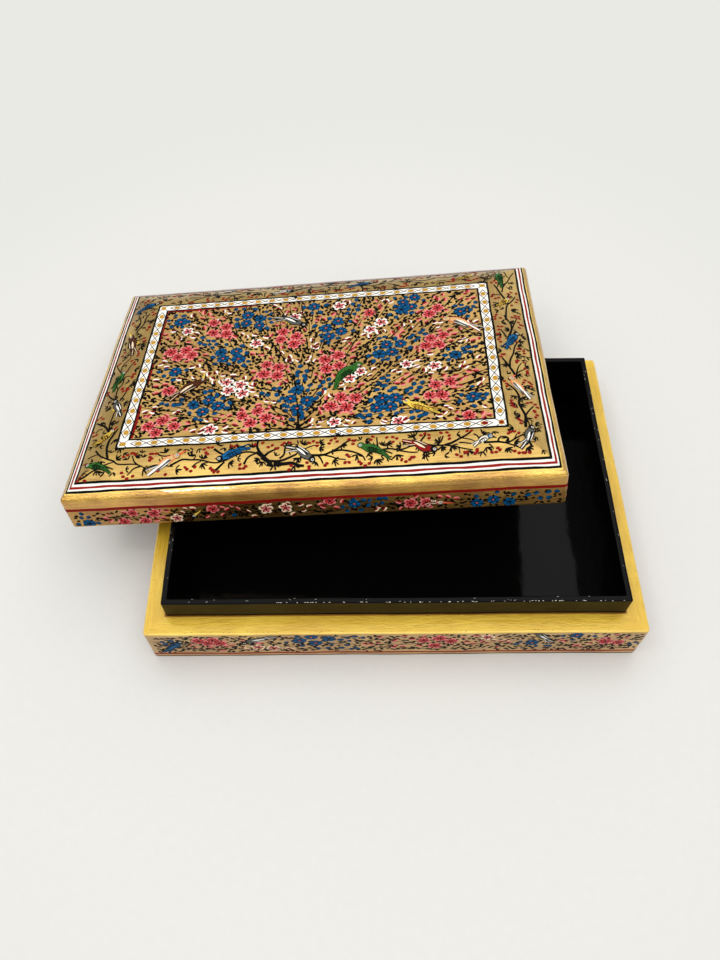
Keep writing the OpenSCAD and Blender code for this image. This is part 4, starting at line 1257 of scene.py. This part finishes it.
def tray_floor():
    """The bottom board, a slab that passes a little under the walls."""
    out = LEDGE_W + 0.1
    rows = ([[d, FLOOR_T] for d in np.linspace(INNERMOST, out + 0.4, 20)]
            + [[out, z] for z in (FLOOR_T, 1.5, 0)] + [[d, 0] for d in (14, 30, 60, INNERMOST)])
    return [shell(rows, place_tray, [LACQUER], np.zeros(len(rows), int))]


def wear():
    """Small flaws where hands and handling wear a box: chips of bare pulp along the collar's edges, brown
    specks along the ledge's outer edge, and dark pits along the lid's nose. A row of pale dots along the
    front collar's outer edge are painted glints. Those of the tray come first."""
    rng = np.random.default_rng(77)

    def collar_height(inset):
        """Height of the collar's top, which falls in a quarter circle at its outer edge."""
        over = np.clip(LEDGE_W + COLLAR_EDGE - inset, 0, 0.65)
        return COLLAR_TOP - COLLAR_EDGE + np.sqrt(COLLAR_EDGE**2 - over**2)

    def strewn(count, low, high):
        """Places round the box, between two insets, and their sides' directions."""
        side = rng.integers(0, 4, count)
        half = SIDE_L[side] / 2 - 18
        along, inset = rng.uniform(-1, 1, count) * half, rng.uniform(low, high, count)
        options = np.stack([np.stack(on_side(k, along, inset), -1) for k in range(4)])
        return options[side, np.arange(count)], side * np.pi / 2 + rng.normal(0, 0.2, count)

    def flaws(surface, at, way, longest, breadth, rise, paint, shortest=0.4):
        """Daubs as long and as broad as chance has it, between limits."""
        return daubs(surface, at, way, rng.uniform(shortest, longest, len(at)),
                     rng.uniform(*breadth, len(at)), 0.0, rise, paint, corners=6)

    collar_top, ledge_top = tray_top(collar_height), tray_top(lambda inset: LEDGE_H)
    chips = strewn(60, 11.1, 13.2)
    # A row of pale dots along the front collar's outer top edge: painted glints, in the pulp's colour
    along = rng.uniform(-60, 112, 60)
    dots = np.stack([along, rng.uniform(10.8, 11.05, 60) - BOX_W / 2], -1)
    specks, pits = strewn(120, 0.9, 1.7), strewn(70, 1.2, 3.1)
    on_tray = [flaws(collar_top, *chips, 1.8, (0.08, 0.14), 0.03, CHIP_AND_GLINT),
               flaws(collar_top, dots, 0, 1.2, (0.15, 0.3), 0.03, CHIP_AND_GLINT),
               flaws(ledge_top, *specks, 0.8, (0.15, 0.3), 0.02, BROWN, shortest=0.3)]
    return on_tray, [flaws(lid_top, *pits, 0.9, (0.2, 0.4), 0.02, BROWN, shortest=0.3)]


def make_box():
    """All pieces, each riding on its body."""
    build("lid_shell", lid_shell(), "lid",
          ("lid_front_wall", "lid_back_wall", "lid_left_wall", "lid_right_wall", "lid_board", "lid_crown"))
    build("tray_walls", tray_walls(), "tray",
          ("base_front_wall", "base_back_wall", "base_left_wall", "base_right_wall"))
    build("collar", collar(), "tray",
          ("collar_front_strip", "collar_back_strip", "collar_left_strip", "collar_right_strip"))
    build("tray_floor", tray_floor(), "tray", ("base_floor_board",))
    for name, parts in (("lid_lines", lid_lines()), ("lid_guard_band", guard_band()),
                        ("lid_field_flowers", field_painting()), ("lid_border_branches", border_branches()),
                        ("lid_birds", sum((bird(lid_top, *row) for row in LID_BIRDS), []))):
        build(name, parts, "lid")
    for side, name in enumerate(("front", "right", "back", "left")):
        build("lid_" + name + "_flowers", lid_band(side), "lid")
        build("tray_" + name + "_flowers", tray_band(side), "tray")
    # A thin brown line round the tray just over the floor: painted contact shadow
    contact_shadow_line = belt(place_tray, 1.1, 0.8, BROWN, rise=0.03, shake=0.05, seed=7)
    build("tray_lines", [belt(place_tray, 4.4, 1.5, RED, seed=3), contact_shadow_line], "tray")
    tray_wear, lid_wear = wear()
    build("tray_wear", tray_wear, "tray")
    build("lid_wear", lid_wear, "lid")


# Studio

PALE_GREY = "#EAEAE5"


def floor_paper():
    """Matt pale paper, its two greys too close to tell apart. From 0.22 m outwards it fades into an even
    glow of the surround's grey, for the eye and for mirrored light, so that it ends without an edge."""
    material, tree = new_finish("pale floor paper")
    body = add(tree, "TexCoord").outputs["Object"]
    fibre = add(tree, "TexNoise", {"Vector": body, "Scale": 260.0, "Detail": 4.0})
    shade = add(tree, "ValToRGB", {"Fac": fibre})
    for stop, colour in zip(shade.color_ramp.elements, ("#DFDED9", "#E4E3DE")):
        stop.color = linear(colour)
    skin = add(tree, "BsdfPrincipled", {"Base Color": shade, "Roughness": 0.9})
    glow = add(tree, "Emission", {"Color": linear(PALE_GREY), "Strength": 1.0})
    rays = add(tree, "LightPath").outputs
    direct = add(tree, "Math", [rays["Is Camera Ray"], rays["Is Glossy Ray"]], operation="ADD")
    looking = add(tree, "Math", [direct, rays["Is Transmission Ray"]], operation="ADD")
    far = add(tree, "VectorMath", [body], operation="LENGTH")
    share = add(tree, "MapRange", [far.outputs["Value"], 0.22, 0.42, 0.08, 1.0],
                interpolation_type="SMOOTHSTEP")
    glowing = add(tree, "Math", [looking, share], operation="MULTIPLY")
    paper = add(tree, "MixShader", [glowing, skin, glow])
    add(tree, "OutputMaterial", {"Surface": paper})
    return material


def surround():
    """An even pale grey for the eye. As light it is dim at the horizon and bright overhead, with a pale wall
    at the back right, whose middle is the direction that the lid's right border mirrors."""
    world = bpy.data.worlds.new("surround")
    bpy.context.scene.world = world
    world.use_nodes = True
    tree = world.node_tree
    tree.nodes.clear()
    rays = add(tree, "LightPath").outputs
    aim = add(tree, "TexCoord").outputs["Object"]
    parts = add(tree, "SeparateXYZ", [aim])
    sky = add(tree, "MapRange", [parts.outputs["Z"], 0.0, 1.0, 0.30, 0.86])
    towards = add(tree, "VectorMath", [aim, (0.38, 0.81, 0.44)], operation="DOT_PRODUCT")
    wall = add(tree, "MapRange", [towards.outputs["Value"], 0.90, 0.985, 0.0, 0.5])
    bright = add(tree, "Math", [sky, wall], operation="ADD")
    room = add(tree, "Background", {"Color": bright, "Strength": 1.0})
    seen = add(tree, "Background", {"Color": linear(PALE_GREY), "Strength": 1.0})
    mixed = add(tree, "MixShader", [rays["Is Camera Ray"], room, seen])
    add(tree, "OutputWorld", {"Surface": mixed})


def area_lamp(name, size, watts, place, turn):
    """A rectangular lamp of that size in metres, turned by three angles in radians."""
    light = bpy.data.lights.new(name, "AREA")
    light.shape, light.energy = "RECTANGLE", watts
    light.size, light.size_y = size
    lamp = bpy.data.objects.new(name, light)
    lamp.location, lamp.rotation_euler = place, turn
    bpy.context.scene.collection.objects.link(lamp)


def photo_camera():
    """The camera where the photograph was taken from, its angles below the horizon, to the side and of roll
    in degrees, its place in metres and its lens in millimetres. All come from the camera that was fitted
    to it."""
    down, aside, roll = np.radians([57.523, 0.104, -0.333]).tolist()
    ahead = Vector((np.sin(aside) * np.cos(down), np.cos(aside) * np.cos(down), -np.sin(down)))
    right = Vector((np.cos(aside), -np.sin(aside), 0))
    right = float(np.cos(roll)) * right + float(np.sin(roll)) * right.cross(ahead)
    lens = bpy.data.cameras.new("camera")
    lens.lens, lens.sensor_width, lens.clip_start, lens.clip_end = 30.7365, 36.0, 0.01, 50.0
    camera = bpy.data.objects.new("camera", lens)
    turn = Matrix((right, right.cross(ahead), -ahead)).transposed().to_4x4()
    camera.matrix_world = Matrix.Translation((-0.01802, -0.24381, 0.41559)) @ turn
    bpy.context.scene.collection.objects.link(camera)
    bpy.context.scene.camera = camera


def studio():
    """The paper floor, the surround, a wide softbox overhead, a small window-like lamp at the front left that
    gives the lid's nose its white glints, and the camera."""
    mesh = bpy.data.meshes.new("floor")
    far = 6.0
    mesh.from_pydata([(-far, -far, 0), (far, -far, 0), (far, far, 0), (-far, far, 0)], [], [(0, 1, 2, 3)])
    mesh.materials.append(floor_paper())
    floor = bpy.data.objects.new("floor", mesh)
    bpy.context.scene.collection.objects.link(floor)
    surround()
    overhead = Vector((-0.05, 0.0, 1.25))
    to_box = (Vector() - overhead).to_track_quat("-Z", "Y").to_euler()
    area_lamp("softbox", (2.0, 1.6), 11.0, overhead, to_box)
    area_lamp("window", (0.15, 0.035), 0.9, (-0.55, -0.25, 1.21), np.radians((9.2, -21.4, 0.0)).tolist())
    photo_camera()
    bpy.context.scene.view_settings.view_transform = "Standard"


studio()
make_box()
